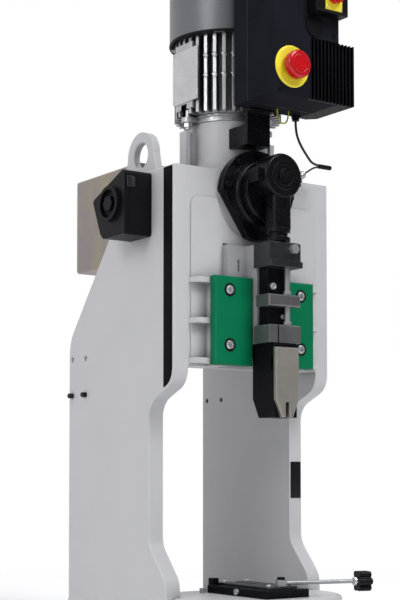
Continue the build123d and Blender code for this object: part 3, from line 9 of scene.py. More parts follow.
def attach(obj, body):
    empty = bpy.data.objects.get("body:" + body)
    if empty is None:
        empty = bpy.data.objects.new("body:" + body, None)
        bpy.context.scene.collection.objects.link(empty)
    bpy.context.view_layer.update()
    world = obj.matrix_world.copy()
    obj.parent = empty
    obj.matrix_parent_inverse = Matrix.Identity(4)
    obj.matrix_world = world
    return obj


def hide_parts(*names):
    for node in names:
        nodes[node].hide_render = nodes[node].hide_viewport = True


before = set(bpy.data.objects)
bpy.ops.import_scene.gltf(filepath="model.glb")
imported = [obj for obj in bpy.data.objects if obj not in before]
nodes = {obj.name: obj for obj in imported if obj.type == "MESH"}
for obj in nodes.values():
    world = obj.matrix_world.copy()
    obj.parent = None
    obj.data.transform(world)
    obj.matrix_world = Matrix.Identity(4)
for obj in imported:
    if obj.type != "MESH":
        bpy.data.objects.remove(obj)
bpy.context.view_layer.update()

scene = bpy.context.scene
scene.view_settings.view_transform = "Standard"


# Studio: a pale floor that runs out into a white backdrop, the room in front of the machine dim, and
# three soft boxes, one high in front, one on the left and one overhead.
def linear(hex_colour):
    """An sRGB hex colour as linear RGBA."""
    parts = [int(hex_colour[i : i + 2], 16) / 255 for i in (1, 3, 5)]
    return [c / 12.92 if c <= 0.04045 else ((c + 0.055) / 1.055) ** 2.4 for c in parts] + [1.0]


def add(tree, kind, settings=(), **inputs):
    """Adds a node. A key of inputs is a socket's name, with _ for a space, or i and its number."""
    made = tree.nodes.new(kind)
    for name, value in dict(settings).items():
        setattr(made, name, value)
    for name, value in inputs.items():
        socket = made.inputs[int(name[1:])] if name[1:].isdigit() else made.inputs[name.replace("_", " ")]
        if isinstance(value, bpy.types.NodeSocket):
            tree.links.new(value, socket)
        else:
            socket.default_value = value
    return made


def mixed(tree, share, low, high):
    """The colour between two hex colours or sockets, by share."""
    ends = [linear(c) if isinstance(c, str) else c for c in (low, high)]
    return add(tree, "ShaderNodeMix", {"data_type": "RGBA"}, i0=share, i6=ends[0], i7=ends[1]).outputs[2]


def light_world():
    world = bpy.data.worlds.new("studio")
    scene.world = world
    world.use_nodes = True
    tree = world.node_tree
    tree.nodes.clear()
    ray = add(tree, "ShaderNodeLightPath")
    seen = add(
        tree,
        "ShaderNodeMath",
        {"operation": "MAXIMUM"},
        i0=ray.outputs["Is Camera Ray"],
        i1=ray.outputs["Is Transmission Ray"],
    )
    direction = add(tree, "ShaderNodeTexCoord").outputs["Generated"]
    # 1 towards the backdrop behind and to the left of the machine, 0 towards the dim room in front
    facing = add(
        tree,
        "ShaderNodeVectorMath",
        {"operation": "DOT_PRODUCT"},
        i0=direction,
        i1=(-0.45, 0.85, 0.25),
    ).outputs["Value"]
    bright = add(
        tree,
        "ShaderNodeMapRange",
        {"interpolation_type": "SMOOTHSTEP"},
        Value=facing,
        From_Min=-0.75,
        From_Max=0.55,
    ).outputs["Result"]
    around = mixed(tree, bright, "#5C5E62", "#E4E4E6")
    colour = mixed(tree, seen.outputs[0], around, "#FFFFFF")
    back = add(tree, "ShaderNodeBackground", Color=colour, Strength=1.0)
    add(tree, "ShaderNodeOutputWorld", Surface=back.outputs[0])


light_world()


def lay_floor():
    floor_mesh = bpy.data.meshes.new("floor")
    reach = 6.0
    corners = [(-reach, -reach, 0), (reach, -reach, 0), (reach, reach, 0), (-reach, reach, 0)]
    floor_mesh.from_pydata(corners, [], [(0, 1, 2, 3)])
    floor = bpy.data.objects.new("floor", floor_mesh)
    scene.collection.objects.link(floor)
    paper = bpy.data.materials.new("white_paper_sweep")
    paper.use_nodes = True
    tree = paper.node_tree
    tree.nodes.clear()
    place = add(tree, "ShaderNodeTexCoord").outputs["Object"]
    # Faint cloudiness of matt paper, and a run-out to plain white 1 to 2 m from the machine
    cloud = add(tree, "ShaderNodeTexNoise", Vector=place, Scale=3.0, Detail=4.0).outputs["Fac"]
    matt = add(tree, "ShaderNodeBsdfDiffuse", Color=mixed(tree, cloud, "#F2F2F2", "#EEEEEF"))
    white = add(tree, "ShaderNodeEmission", Color=linear("#FFFFFF"), Strength=1.0)
    away = add(tree, "ShaderNodeVectorMath", {"operation": "LENGTH"}, i0=place).outputs["Value"]
    run_out = add(
        tree,
        "ShaderNodeMapRange",
        {"interpolation_type": "SMOOTHSTEP"},
        Value=away,
        From_Min=0.45,
        From_Max=1.6,
    )
    ray = add(tree, "ShaderNodeLightPath")
    share = add(
        tree,
        "ShaderNodeMath",
        {"operation": "MULTIPLY"},
        i0=run_out.outputs["Result"],
        i1=ray.outputs["Is Camera Ray"],
    )
    both = add(tree, "ShaderNodeMixShader", i0=share.outputs[0], i1=matt.outputs[0], i2=white.outputs[0])
    add(tree, "ShaderNodeOutputMaterial", Surface=both.outputs[0])
    floor_mesh.materials.append(paper)


lay_floor()

# Soft boxes: name, place, size in metres, watts
lamp_target = (0, 0, 0.55)
soft_boxes = (
    ("soft_box_front", (0.5, -2.4, 2.9), 1.4, 84.0),
    ("soft_box_left", (-2.7, -0.7, 1.9), 1.2, 24.0),
    ("soft_box_top", (0.3, 0.1, 2.9), 1.4, 24.0),
)
for lamp_name, lamp_place, lamp_size, watts in soft_boxes:
    lamp = bpy.data.lights.new(lamp_name, "AREA")
    lamp.energy = watts
    lamp.size = lamp_size
    lamp_object = bpy.data.objects.new(lamp_name, lamp)
    lamp_object.location = lamp_place
    to_machine = Vector(lamp_target) - Vector(lamp_place)
    lamp_object.rotation_euler = to_machine.to_track_quat("-Z", "Y").to_euler()
    scene.collection.objects.link(lamp_object)

# Camera at the photograph's place: low in front of the machine on the left, looking slightly up.
# The lens covers the frame's long side, which is the sensor's 36 mm.
camera_pitch = 2.716
camera_turn = -35.08
camera_data = bpy.data.cameras.new("camera")
camera_data.lens = 83.37
camera_data.sensor_width = 36
camera_data.shift_y = 0.18
camera = bpy.data.objects.new("camera", camera_data)
camera.location = (-1.2503, -1.7310, 0.2438)
camera.rotation_euler = (math.radians(90 + camera_pitch), 0, math.radians(camera_turn))
scene.collection.objects.link(camera)
scene.camera = camera


# Cables: the sensor's lead runs to the sleeve, the control cable from the box's gland to the same
# sleeve, and a short earth wire loops under the box. All three are round and PVC covered, and the
# earth wire is green with a yellow stripe.
def begin(name, edge):
    """A material, its shader, object coordinates, a normal rounded over edge metres and the edges' mask."""
    material = bpy.data.materials.new(name)
    material.use_nodes = True
    tree = material.node_tree
    tree.nodes.clear()
    shader = add(tree, "ShaderNodeBsdfPrincipled")
    add(tree, "ShaderNodeOutputMaterial", Surface=shader.outputs[0])
    place = add(tree, "ShaderNodeTexCoord").outputs["Object"]
    soft = add(tree, "ShaderNodeBevel", {"samples": 4}, Radius=edge).outputs["Normal"]
    flat = add(tree, "ShaderNodeNewGeometry").outputs["Normal"]
    same = add(tree, "ShaderNodeVectorMath", {"operation": "DOT_PRODUCT"}, i0=soft, i1=flat).outputs["Value"]
    edge_mask = add(tree, "ShaderNodeMapRange", Value=same, From_Min=0.995, From_Max=0.9).outputs["Result"]
    return material, tree, shader, place, soft, edge_mask


def noise(tree, place, size, detail=3.0, stretch=(1, 1, 1)):
    """Noise whose grains are about size metres across, longer along the axes where stretch is above 1."""
    run = add(tree, "ShaderNodeVectorMath", {"operation": "DIVIDE"}, i0=place, i1=[size * s for s in stretch])
    return add(tree, "ShaderNodeTexNoise", Vector=run.outputs[0], Scale=1.0, Detail=detail).outputs["Fac"]


def between(tree, value, low, high):
    """Noise, which lies mostly between 0.3 and 0.7, taken to the range from low to high."""
    return add(
        tree, "ShaderNodeMapRange", Value=value, From_Min=0.3, From_Max=0.7, To_Min=low, To_Max=high
    ).outputs["Result"]


def raised(tree, height, depth, normal):
    """The normal of a surface whose height map is depth metres deep."""
    bump = add(tree, "ShaderNodeBump", Strength=1.0, Distance=depth, Height=height, Normal=normal)
    return bump.outputs["Normal"]


def cable_sheath(name, dark, light):
    # Extruded PVC: even, half gloss, faintly dusty
    material, tree, shader, place, soft, _ = begin(name, 0.0002)
    dust = noise(tree, place, 0.004)
    tree.links.new(mixed(tree, dust, dark, light), shader.inputs["Base Color"])
    tree.links.new(between(tree, dust, 0.38, 0.52), shader.inputs["Roughness"])
    tree.links.new(raised(tree, dust, 0.00005, soft), shader.inputs["Normal"])
    return material


black_sheath = cable_sheath("pvc_sheath_black", "#131316", "#1E1E22")


def striped_sheath():
    # Earth wire: green PVC with a yellow stripe that runs along the wire's own length
    material, tree, shader, place, soft, _ = begin("pvc_sheath_green_yellow", 0.0002)
    run = add(tree, "ShaderNodeTexCoord").outputs["UV"]
    part = add(tree, "ShaderNodeSeparateXYZ", Vector=run)
    side = add(tree, "ShaderNodeMath", {"operation": "PINGPONG"}, i0=part.outputs["Y"], i1=0.25)
    stripe = add(tree, "ShaderNodeMath", {"operation": "GREATER_THAN"}, i0=side.outputs[0], i1=0.15)
    tree.links.new(mixed(tree, stripe.outputs[0], "#3F6E28", "#C9B93A"), shader.inputs["Base Color"])
    tree.links.new(between(tree, noise(tree, place, 0.004), 0.35, 0.5), shader.inputs["Roughness"])
    tree.links.new(soft, shader.inputs["Normal"])
    return material


earth_sheath = striped_sheath()
# Name, node, radius, length, far end, stiffness, material, slot, route in mm
cables = (
    (
        "sensor_lead_cable", "sensor_lead", 0.0014, 0.0308, "connector", "medium",
        black_sheath, "cable_rubber",
        ((66.03, -126, 693.60), (73.90, -126, 697.97), (84, -132, 706.2), (92, -132, 706.2)),
    ),
    (
        "control_cable_run", "control_cable", 0.0018, 0.0828, "connector", "medium",
        black_sheath, "cable_rubber",
        (
            (53, -125, 773), (53, -125, 757), (59, -127, 739), (70, -130, 722), (80, -132, 709.4),
            (92, -132, 709.4),
        ),
    ),
    (
        "earth_wire_run", "earth_wire", 0.0011, 0.0510, "object", "medium", earth_sheath, "earth_green",
        (
            (6, -140, 781), (6, -140, 771), (11, -140, 761), (22, -140, 761), (27, -140, 771),
            (27, -140, 781),
        ),
    ),
)
for cable_name, cable_node, radius, length, far_end, stiffness, sheath, cable_slot, route in cables:
    curve = bpy.data.curves.new(cable_name, "CURVE")
    curve.dimensions = "3D"
    curve.bevel_depth = radius
    curve.bevel_resolution = 6
    curve.resolution_u = 16
    curve.use_fill_caps = True
    line = curve.splines.new("NURBS")
    line.points.add(len(route) - 1)
    for point, corner in zip(line.points, route):
        point.co = [c / 1000 for c in corner] + [1]
    line.order_u = 3
    line.use_endpoint_u = True
    line.use_smooth = True
    curve.materials.append(sheath)
    cable = bpy.data.objects.new(cable_name, curve)
    scene.collection.objects.link(cable)
    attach(cable, "frame")
    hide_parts(cable_node)


# Portal frame: cheeks, head, base and lifting lug are grey iron, filled, ground and sprayed with a
# light grey two-coat enamel that keeps a fine orange peel.
def dress(material, *names):
    """Gives CAD nodes this material."""
    for name in names:
        nodes[name].data.materials.clear()
        nodes[name].data.materials.append(material)


def enamel(name, low, high, edge_colour, corner_shade_colour, peel, peel_depth, gloss, level=0.4):
    """Sprayed enamel: two close tones, a fine orange peel, thin on edges, with painted shade darkening its
    inner corners.
    """
    material, tree, shader, place, soft, edge_mask = begin(name, 0.0012)
    tone = mixed(tree, noise(tree, place, 0.07), low, high)
    thin = add(tree, "ShaderNodeMath", {"operation": "MULTIPLY"}, i0=edge_mask, i1=noise(tree, place, 0.012))
    coat = mixed(tree, thin.outputs[0], tone, edge_colour)
    # Painted shade: ambient occlusion darkens inner corners towards the corner colour.
    open_sky = add(tree, "ShaderNodeAmbientOcclusion", {"samples": 6}, Distance=0.030).outputs["AO"]
    corner = add(tree, "ShaderNodeMapRange", Value=open_sky, From_Min=0.75, From_Max=0.30).outputs["Result"]
    tree.links.new(mixed(tree, corner, coat, corner_shade_colour), shader.inputs["Base Color"])
    # Orange peel is about 1 mm in life and drawn coarser, so that it shows
    skin = noise(tree, place, peel, 2.0)
    wave = noise(tree, place, 0.045, 1.0)
    tree.links.new(between(tree, skin, gloss - 0.05, gloss + 0.05), shader.inputs["Roughness"])
    normal = raised(tree, wave, 0.0006, soft)
    tree.links.new(raised(tree, skin, peel_depth, normal), shader.inputs["Normal"])
    shader.inputs["Specular IOR Level"].default_value = level
    shader.inputs["Coat Weight"].default_value = level / 4
    shader.inputs["Coat Roughness"].default_value = 0.25
    return material


grey_enamel = enamel(
    "light_grey_enamel_on_cast_iron", "#BABABC", "#B2B2B5", "#CDCDCF", "#86868A", 0.003, 0.00008, 0.42
)
dress(grey_enamel, "left_cheek", "right_cheek", "head_casting", "base_plate", "lifting_lug")


# Edge stripe and blank plate: black foil down the front edge of the left cheek, and a small black
# anodised plate stuck on the front of the right leg. Both are bare.
def as_object(name, mesh_code, crease=32):
    """An object of this bmesh, smooth but for edges sharper than crease degrees."""
    bmesh.ops.recalc_face_normals(mesh_code, faces=mesh_code.faces)
    mesh = bpy.data.meshes.new(name)
    mesh_code.to_mesh(mesh)
    mesh_code.free()
    mesh.polygons.foreach_set("use_smooth", [True] * len(mesh.polygons))
    mesh.set_sharp_from_angle(angle=math.radians(crease))
    made = bpy.data.objects.new(name, mesh)
    scene.collection.objects.link(made)
    return made


def fit(piece, material, body):
    """Finishes a piece: its material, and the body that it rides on."""
    piece.data.materials.clear()
    piece.data.materials.append(material)
    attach(piece, body)
    return piece


def slab(name, outline, depth, rounding):
    """A plate of this outline in metres: 3-D points in order, and the vector of its thickness."""
    code = bmesh.new()
    base = code.faces.new([code.verts.new(p) for p in outline])
    top = bmesh.ops.extrude_face_region(code, geom=[base])
    raised_verts = [v for v in top["geom"] if isinstance(v, bmesh.types.BMVert)]
    bmesh.ops.translate(code, verts=raised_verts, vec=depth)
    rim = [e for f in top["geom"] if isinstance(f, bmesh.types.BMFace) for e in f.edges]
    bmesh.ops.bevel(code, geom=rim, offset=rounding, segments=3, profile=0.5, affect="EDGES")
    return as_object(name, code)


def rounded(width, height, corner, steps=6):
    """2-D points of a rectangle with round corners, in metres, about its centre."""
    points = []
    for quarter, (sx, sy) in enumerate(((1, 1), (-1, 1), (-1, -1), (1, -1))):
        for step in range(steps + 1):
            a = math.radians(90 * quarter + 90 * step / steps)
            x = sx * (width / 2 - corner) + corner * math.cos(a)
            y = sy * (height / 2 - corner) + corner * math.sin(a)
            points.append((x, y))
    return points


def foil(name, low, high, gloss, level=0.15):
    # Printed vinyl or anodised sheet, and flat black for painted shade: even black with a faint grain
    material, tree, shader, place, soft, _ = begin(name, 0.0003)
    grain = noise(tree, place, 0.002)
    tree.links.new(mixed(tree, grain, low, high), shader.inputs["Base Color"])
    sheen = noise(tree, place, 0.02)
    tree.links.new(between(tree, sheen, gloss - 0.06, gloss + 0.06), shader.inputs["Roughness"])
    tree.links.new(raised(tree, grain, 0.00004, soft), shader.inputs["Normal"])
    shader.inputs["Specular IOR Level"].default_value = level
    return material


stripe_foil = foil("black_vinyl_foil", "#0F0F12", "#141418", 0.50, 0.02)
stripe_front, stripe_rear = -0.0868, -0.0640
stripe_top = 0.6885
step_centre = (-0.059, 0.3954)
step_round = 0.0275
outer_face = -0.144
foil_thickness = 0.0004
stripe_outline = [(outer_face, stripe_rear, stripe_top), (outer_face, stripe_front, stripe_top)]
for step in range(13):
    y = stripe_front + (stripe_rear - stripe_front) * step / 12
    z = step_centre[1] - math.sqrt(max(0, step_round**2 - (y - step_centre[0]) ** 2))
    stripe_outline.append((outer_face, y, z))
edge_stripe = slab("edge_stripe", stripe_outline, (-foil_thickness, 0, 0), 0.0001)
fit(edge_stripe, stripe_foil, "frame")

plate_foil = foil("black_anodised_plate", "#121215", "#1A1A1E", 0.36)
label_x, label_y, label_z = 0.1315, -0.025, 0.2345
label_thickness = 0.0008
leg_plate = slab(
    "leg_plate",
    [(label_x + x, label_y, label_z + z) for x, z in rounded(0.020, 0.057, 0.0015)],
    (0, -label_thickness, 0),
    0.0002,
)
fit(leg_plate, plate_foil, "frame")


# Fasteners: zinc plated steel, turned and cold headed. Socket screws in the gib plates and cheeks,
# hexagon nuts on the motor studs, and plain dark pins through the cheeks.
def bare_metal(name, low, high, grain, stretch, gloss, depth, edge_colour="#D0D0D0", metallic=1.0):
    """Bare or plated metal: two tones, tool marks of that grain and stretch, and bright edges."""
    material, tree, shader, place, soft, edge_mask = begin(name, 0.0006)
    marks = noise(tree, place, grain, 4.0, stretch)
    stain = noise(tree, place, 0.03)
    tone = mixed(tree, between(tree, stain, 0.0, 1.0), low, high)
    tree.links.new(mixed(tree, edge_mask, tone, edge_colour), shader.inputs["Base Color"])
    tree.links.new(between(tree, marks, gloss - 0.09, gloss + 0.09), shader.inputs["Roughness"])
    tree.links.new(raised(tree, marks, depth, soft), shader.inputs["Normal"])
    shader.inputs["Metallic"].default_value = metallic
    return material


zinc = bare_metal("zinc_plated_steel", "#C2C4C6", "#CECFD1", 0.004, (1, 1, 1), 0.34, 0.00001, metallic=0.8)
dress(zinc, "frame_screws", "zinc_screws", "gib_adjusters")
pin_steel = bare_metal("dark_pin_steel", "#2E2E30", "#38383A", 0.004, (1, 1, 1), 0.42, 0.00002, "#5A5A5C")
dress(pin_steel, "dowel_pins")


def points_of(radius, height, sides=0, steps=36):
    """A ring about the Z axis in metres: round, or a polygon whose flats lie at radius."""
    ring = []
    for step in range(steps):
        a = 2 * math.pi * step / steps
        far = radius
        if sides:
            half = math.pi / sides
            far = radius / math.cos((a % (2 * half)) - half)
        ring.append(Vector((far * math.cos(a), far * math.sin(a), height)))
    return ring


def lofted(rings, closed=False):
    """A bmesh skin over rings of equally many points, with caps on its ends unless it is closed."""
    code = bmesh.new()
    rows = [[code.verts.new(p) for p in ring] for ring in rings]
    pairs = list(zip(rows, rows[1:])) + ([(rows[-1], rows[0])] if closed else [])
    for low, high in pairs:
        for i, corner in enumerate(low):
            after = (i + 1) % len(low)
            code.faces.new((corner, low[after], high[after], high[i]))
    if not closed:
        code.faces.new(rows[0][::-1])
        code.faces.new(rows[-1])
    return code


def repeat_tree():
    """Copies of a part on the points of a mesh, each with its point's own direction and scale."""
    tree = bpy.data.node_groups.new("repeated_part", "GeometryNodeTree")
    tree.interface.new_socket("Geometry", in_out="INPUT", socket_type="NodeSocketGeometry")
    tree.interface.new_socket("Part", in_out="INPUT", socket_type="NodeSocketObject")
    tree.interface.new_socket("Finish", in_out="INPUT", socket_type="NodeSocketMaterial")
    tree.interface.new_socket("Geometry", in_out="OUTPUT", socket_type="NodeSocketGeometry")
    given = add(tree, "NodeGroupInput")
    part = add(tree, "GeometryNodeObjectInfo", Object=given.outputs["Part"])
    way = add(tree, "GeometryNodeInputNamedAttribute", {"data_type": "FLOAT_VECTOR"}, Name="way")
    size = add(tree, "GeometryNodeInputNamedAttribute", {"data_type": "FLOAT"}, Name="size")
    turn = add(tree, "FunctionNodeAlignRotationToVector", {"axis": "Z"}, Vector=way.outputs["Attribute"])
    copies = add(
        tree,
        "GeometryNodeInstanceOnPoints",
        Points=given.outputs["Geometry"],
        Instance=part.outputs["Geometry"],
        Rotation=turn.outputs["Rotation"],
        Scale=size.outputs["Attribute"],
    )
    solid = add(tree, "GeometryNodeRealizeInstances", Geometry=copies.outputs["Instances"])
    painted = add(
        tree, "GeometryNodeSetMaterial", Geometry=solid.outputs["Geometry"], Material=given.outputs["Finish"]
    )
    add(tree, "NodeGroupOutput", Geometry=painted.outputs["Geometry"])
    return tree


repeating = repeat_tree()


def repeated(name, part, places, material, body):
    """One mesh of copies of part, at (point, direction, scale) places in metres."""
    carrier_mesh = bpy.data.meshes.new(name)
    carrier_mesh.from_pydata([place for place, way, size in places], [], [])
    ways = carrier_mesh.attributes.new("way", "FLOAT_VECTOR", "POINT")
    ways.data.foreach_set("vector", [c for place, way, size in places for c in Vector(way).normalized()])
    sizes = carrier_mesh.attributes.new("size", "FLOAT", "POINT")
    sizes.data.foreach_set("value", [size for place, way, size in places])
    carrier = bpy.data.objects.new(name + "_places", carrier_mesh)
    scene.collection.objects.link(carrier)
    modifier = carrier.modifiers.new("repeated", "NODES")
    modifier.node_group = repeating
    for socket in repeating.interface.items_tree:
        if socket.name == "Part":
            modifier[socket.identifier] = part
        if socket.name == "Finish":
            modifier[socket.identifier] = material
    bpy.context.view_layer.update()
    evaluated = carrier.evaluated_get(bpy.context.evaluated_depsgraph_get())
    mesh = bpy.data.meshes.new_from_object(evaluated)
    mesh.name = name
    for extra in ("way", "size"):
        if extra in mesh.attributes:
            mesh.attributes.remove(mesh.attributes[extra])
    bpy.data.objects.remove(carrier)
    piece = bpy.data.objects.new(name, mesh)
    scene.collection.objects.link(piece)
    return fit(piece, material, body)


def socket_screw():
    """A cap screw head of 10 mm across and 4 mm high, with a 5 mm hexagon socket."""
    return as_object(
        "socket_screw_part",
        lofted(
            [
                points_of(0.0050, -0.0010),
                points_of(0.0050, 0.0034),
                points_of(0.0044, 0.0040),
                points_of(0.0030, 0.0040),
                points_of(0.0025, 0.0037, 6),
                points_of(0.0025, 0.0012, 6),
            ]
        ),
    )


cap_screw = socket_screw()

# Guide block and gib plates: the two plates are milled steel with a green enamel, rubbed a little
# on their edges. Their socket screws and the adjusting screws beside them are plated.
green_enamel = enamel(
    "green_enamel_on_steel", "#02714A", "#016341", "#1F8E66", "#024A30", 0.0025, 0.00006, 0.40, level=0.12
)
dress(green_enamel, "left_gib_plate", "right_gib_plate")
gib_face = -0.120
gib_screw_columns = (-0.066, 0.066)
gib_screw_rows = (0.430, 0.510)
# The dark rings round the gib plates' screws are painted shade: they stand for the shadow in the screws'
# counterbores.
gib_shadow_ring = as_object(
    "gib_washer_part",
    lofted(
        [
            points_of(0.0066, 0.0004),
            points_of(0.0066, 0.0009),
            points_of(0.0094, 0.0009),
            points_of(0.0098, 0.0005),
            points_of(0.0098, -0.0004),
            points_of(0.0066, -0.0004),
        ],
        closed=True,
    ),
)
shadow_black = foil("painted_shadow_black", "#0E0E10", "#151518", 0.5, 0.1)
repeated(
    "gib_washers",
    gib_shadow_ring,
    [((x, gib_face, z), (0, -1, 0), 1.0) for x in gib_screw_columns for z in gib_screw_rows],
    shadow_black,
    "frame",
)

# Ram: ground tool steel with fine upright grinding marks, the slide lighter than the ledges and the rod
# block darker. The holder and carrier are blackened, and the carrier holds two plated screws.
slide_steel = bare_metal(
    "ground_slide_steel", "#A6A6A9", "#B2B2B4", 0.0022, (1, 1, 14), 0.40, 0.00001, "#C4C4C6", metallic=0.5
)
dress(slide_steel, "ram_slide")
ground = bare_metal(
    "ground_tool_steel", "#646466", "#707072", 0.0022, (1, 1, 14), 0.36, 0.00002, "#B4B4B4", metallic=0.7
)
dress(ground, "middle_ledge", "lower_clamp", "stator_core", "rotor")
dark_ground = bare_metal(
    "dark_tool_steel", "#38393C", "#434447", 0.0022, (1, 1, 14), 0.34, 0.00002, "#8C8C8E", metallic=0.8
)
dress(dark_ground, "rod_clamp_block", "front_latch", "rear_latch", "clamp_top_plate")
bright = bare_metal("bright_turned_steel", "#B7B8BA", "#C8C9CA", 0.004, (1, 1, 1), 0.28, 0.00001)
dress(bright, "shaft_bearing")
drawn = bare_metal("drawn_grey_steel", "#8C8D90", "#98999B", 0.004, (1, 1, 1), 0.40, 0.00001, metallic=0.6)
dress(drawn, "ram_screws", "clamp_lever")
plate_steel = bare_metal(
    "ground_plate_steel", "#848179", "#8E8A85", 0.020, (1, 1, 1), 0.45, 0.00001, "#B8B6B2", metallic=0.5
)
dress(plate_steel, "tool_plate")


def blackened(name, low, high, edge_colour, gloss, grain=0.004, depth=0.00005, level=0.2):
    """Black oxide on steel: nearly black, oily half gloss, rubbed to dull grey on its edges."""
    material, tree, shader, place, soft, edge_mask = begin(name, 0.0008)
    oil = noise(tree, place, 0.018)
    skin = noise(tree, place, grain, 4.0)
    tone = mixed(tree, between(tree, oil, 0.0, 1.0), low, high)
    rubbed = add(tree, "ShaderNodeMath", {"operation": "MULTIPLY"}, i0=edge_mask, i1=oil)
    tree.links.new(mixed(tree, rubbed.outputs[0], tone, edge_colour), shader.inputs["Base Color"])
    tree.links.new(between(tree, skin, gloss - 0.08, gloss + 0.08), shader.inputs["Roughness"])
    tree.links.new(raised(tree, skin, depth, soft), shader.inputs["Normal"])
    shader.inputs["Specular IOR Level"].default_value = level
    return material


black_oxide = blackened("black_oxide_steel", "#08080A", "#0E0E11", "#3A3C40", 0.38, level=0.1)
dress(black_oxide, "tool_carrier", "tool_holder", "black_screws")
carrier_face = -0.148
repeated(
    "carrier_screws",
    cap_screw,
    [((-0.010, carrier_face, 0.516), (0, -1, 0), 1.0), ((0.008, carrier_face, 0.4725), (0, -1, 0), 0.7)],
    zinc,
    "ram",
)

# Eccentric drive: turned and blackened flange, crank disc and connecting rod. The rod's front cap
# carries a raised ring and a slotted locking screw.
drive_black = blackened("black_oxide_drive", "#08080A", "#0F0F12", "#3E4044", 0.27, 0.006, 0.00004, 0.16)
# The box bracket is black partly as its own finish and partly as painted shade, where the box casts its
# shadow on the neck.
dress(drive_black, "bearing_flange", "eccentric_shaft", "connecting_rod", "sensor_bracket", "box_bracket")
cap_face = -0.164
cap_z = 0.677
cap_ring = as_object(
    "cap_ring",
    lofted(
        [
            points_of(0.0150, -0.0006, steps=64),
            points_of(0.0150, 0.0008, steps=64),
            points_of(0.0156, 0.0014, steps=64),
            points_of(0.0212, 0.0014, steps=64),
            points_of(0.0220, 0.0006, steps=64),
            points_of(0.0220, -0.0006, steps=64),
        ],
        closed=True,
    ),
)
to_front = Matrix.Translation((0, cap_face, cap_z)) @ Matrix.Rotation(math.radians(90), 4, "X")
cap_ring.data.transform(to_front)
fit(cap_ring, drive_black, "ram")


def slotted_screw():
    """A flat slotted screw head of 20 mm: two half discs with the slot between them."""
    code = bmesh.new()
    for side in (-1, 1):
        outline = []
        for step in range(25):
            a = math.pi * step / 24
            outline.append(Vector((0.0096 * math.cos(a), side * (0.0014 + 0.0082 * math.sin(a)), 0)))
        base = code.faces.new([code.verts.new(p) for p in outline])
        top = bmesh.ops.extrude_face_region(code, geom=[base])
        top_verts = [v for v in top["geom"] if isinstance(v, bmesh.types.BMVert)]
        bmesh.ops.translate(code, verts=top_verts, vec=(0, 0, 0.0022))
        rim = [e for f in top["geom"] if isinstance(f, bmesh.types.BMFace) for e in f.edges]
        bmesh.ops.bevel(code, geom=rim, offset=0.0005, segments=2, profile=0.5, affect="EDGES")
    return as_object("cap_screw_slotted", code)


cap_slotted = slotted_screw()
cap_slotted.data.transform(to_front @ Matrix.Rotation(math.radians(62), 4, "Z"))
fit(cap_slotted, black_oxide, "ram")

# Sensor: nickel plated barrel with two nuts. Its fine thread is drawn as rings on both sides of the
# nuts, along the barrel's own tilt.
nickel = bare_metal("nickel_plated_brass", "#B4B4B2", "#C8C7C3", 0.0015, (1, 1, 1), 0.28, 0.00004)
dress(nickel, "sensor")
sensor_tilt = math.radians(29)
sensor_way = Vector((math.cos(sensor_tilt), 0, math.sin(sensor_tilt)))
crank_centre = Vector((0, -0.126, 0.657))
crank_clear = 0.0455
sensor_start = crank_centre + sensor_way * crank_clear
thread_ring = as_object(
    "thread_ring_part",
    lofted(
        [
            points_of(0.0059, -0.00045),
            points_of(0.0064, 0.0),
            points_of(0.0059, 0.00045),
            points_of(0.0056, 0.0),
        ],
        closed=True,
    ),
)
thread_pitch = 0.00115
threaded = [1 + i * thread_pitch * 1000 for i in range(6)] + [20 + i * thread_pitch * 1000 for i in range(7)]
repeated(
    "sensor_thread",
    thread_ring,
    [(sensor_start + sensor_way * (at / 1000), sensor_way, 1.0) for at in threaded],
    nickel,
    "frame",
)


# Motor: die cast aluminium flange, shields and finned housing, left bare; a sheet steel fan cover in
# grey enamel with a black bead on its lower edge, painted shade for the shadow under its rim; a blank
# aluminium name plate on rivets.
def casting(name, low, high, gloss):
    """Bare die casting: dull silver with a sandy grain, painted shade in its recesses and painted highlights
    on its open edges.
    """
    material, tree, shader, place, soft, edge_mask = begin(name, 0.0010)
    sand = noise(tree, place, 0.0035, 4.0)
    cloud = noise(tree, place, 0.025)
    # Painted shade: ambient occlusion darkens recesses to near black. Painted highlight: open edges are
    # lifted towards white.
    deep = add(tree, "ShaderNodeAmbientOcclusion", {"samples": 4}, Distance=0.026).outputs["AO"]
    tone = mixed(tree, between(tree, cloud, 0.0, 1.0), low, high)
    gap = add(tree, "ShaderNodeMapRange", Value=deep, From_Min=0.30, From_Max=0.80).outputs["Result"]
    recess_shade_tone = mixed(tree, gap, "#101012", tone)
    edge_highlight = add(tree, "ShaderNodeMath", {"operation": "MULTIPLY"}, i0=edge_mask, i1=gap)
    tree.links.new(mixed(tree, edge_highlight.outputs[0], recess_shade_tone, "#E4E4E4"), shader.inputs["Base Color"])
    tree.links.new(between(tree, sand, gloss - 0.1, gloss + 0.1), shader.inputs["Roughness"])
    tree.links.new(raised(tree, sand, 0.0002, soft), shader.inputs["Normal"])
    shader.inputs["Metallic"].default_value = 0.6
    return material


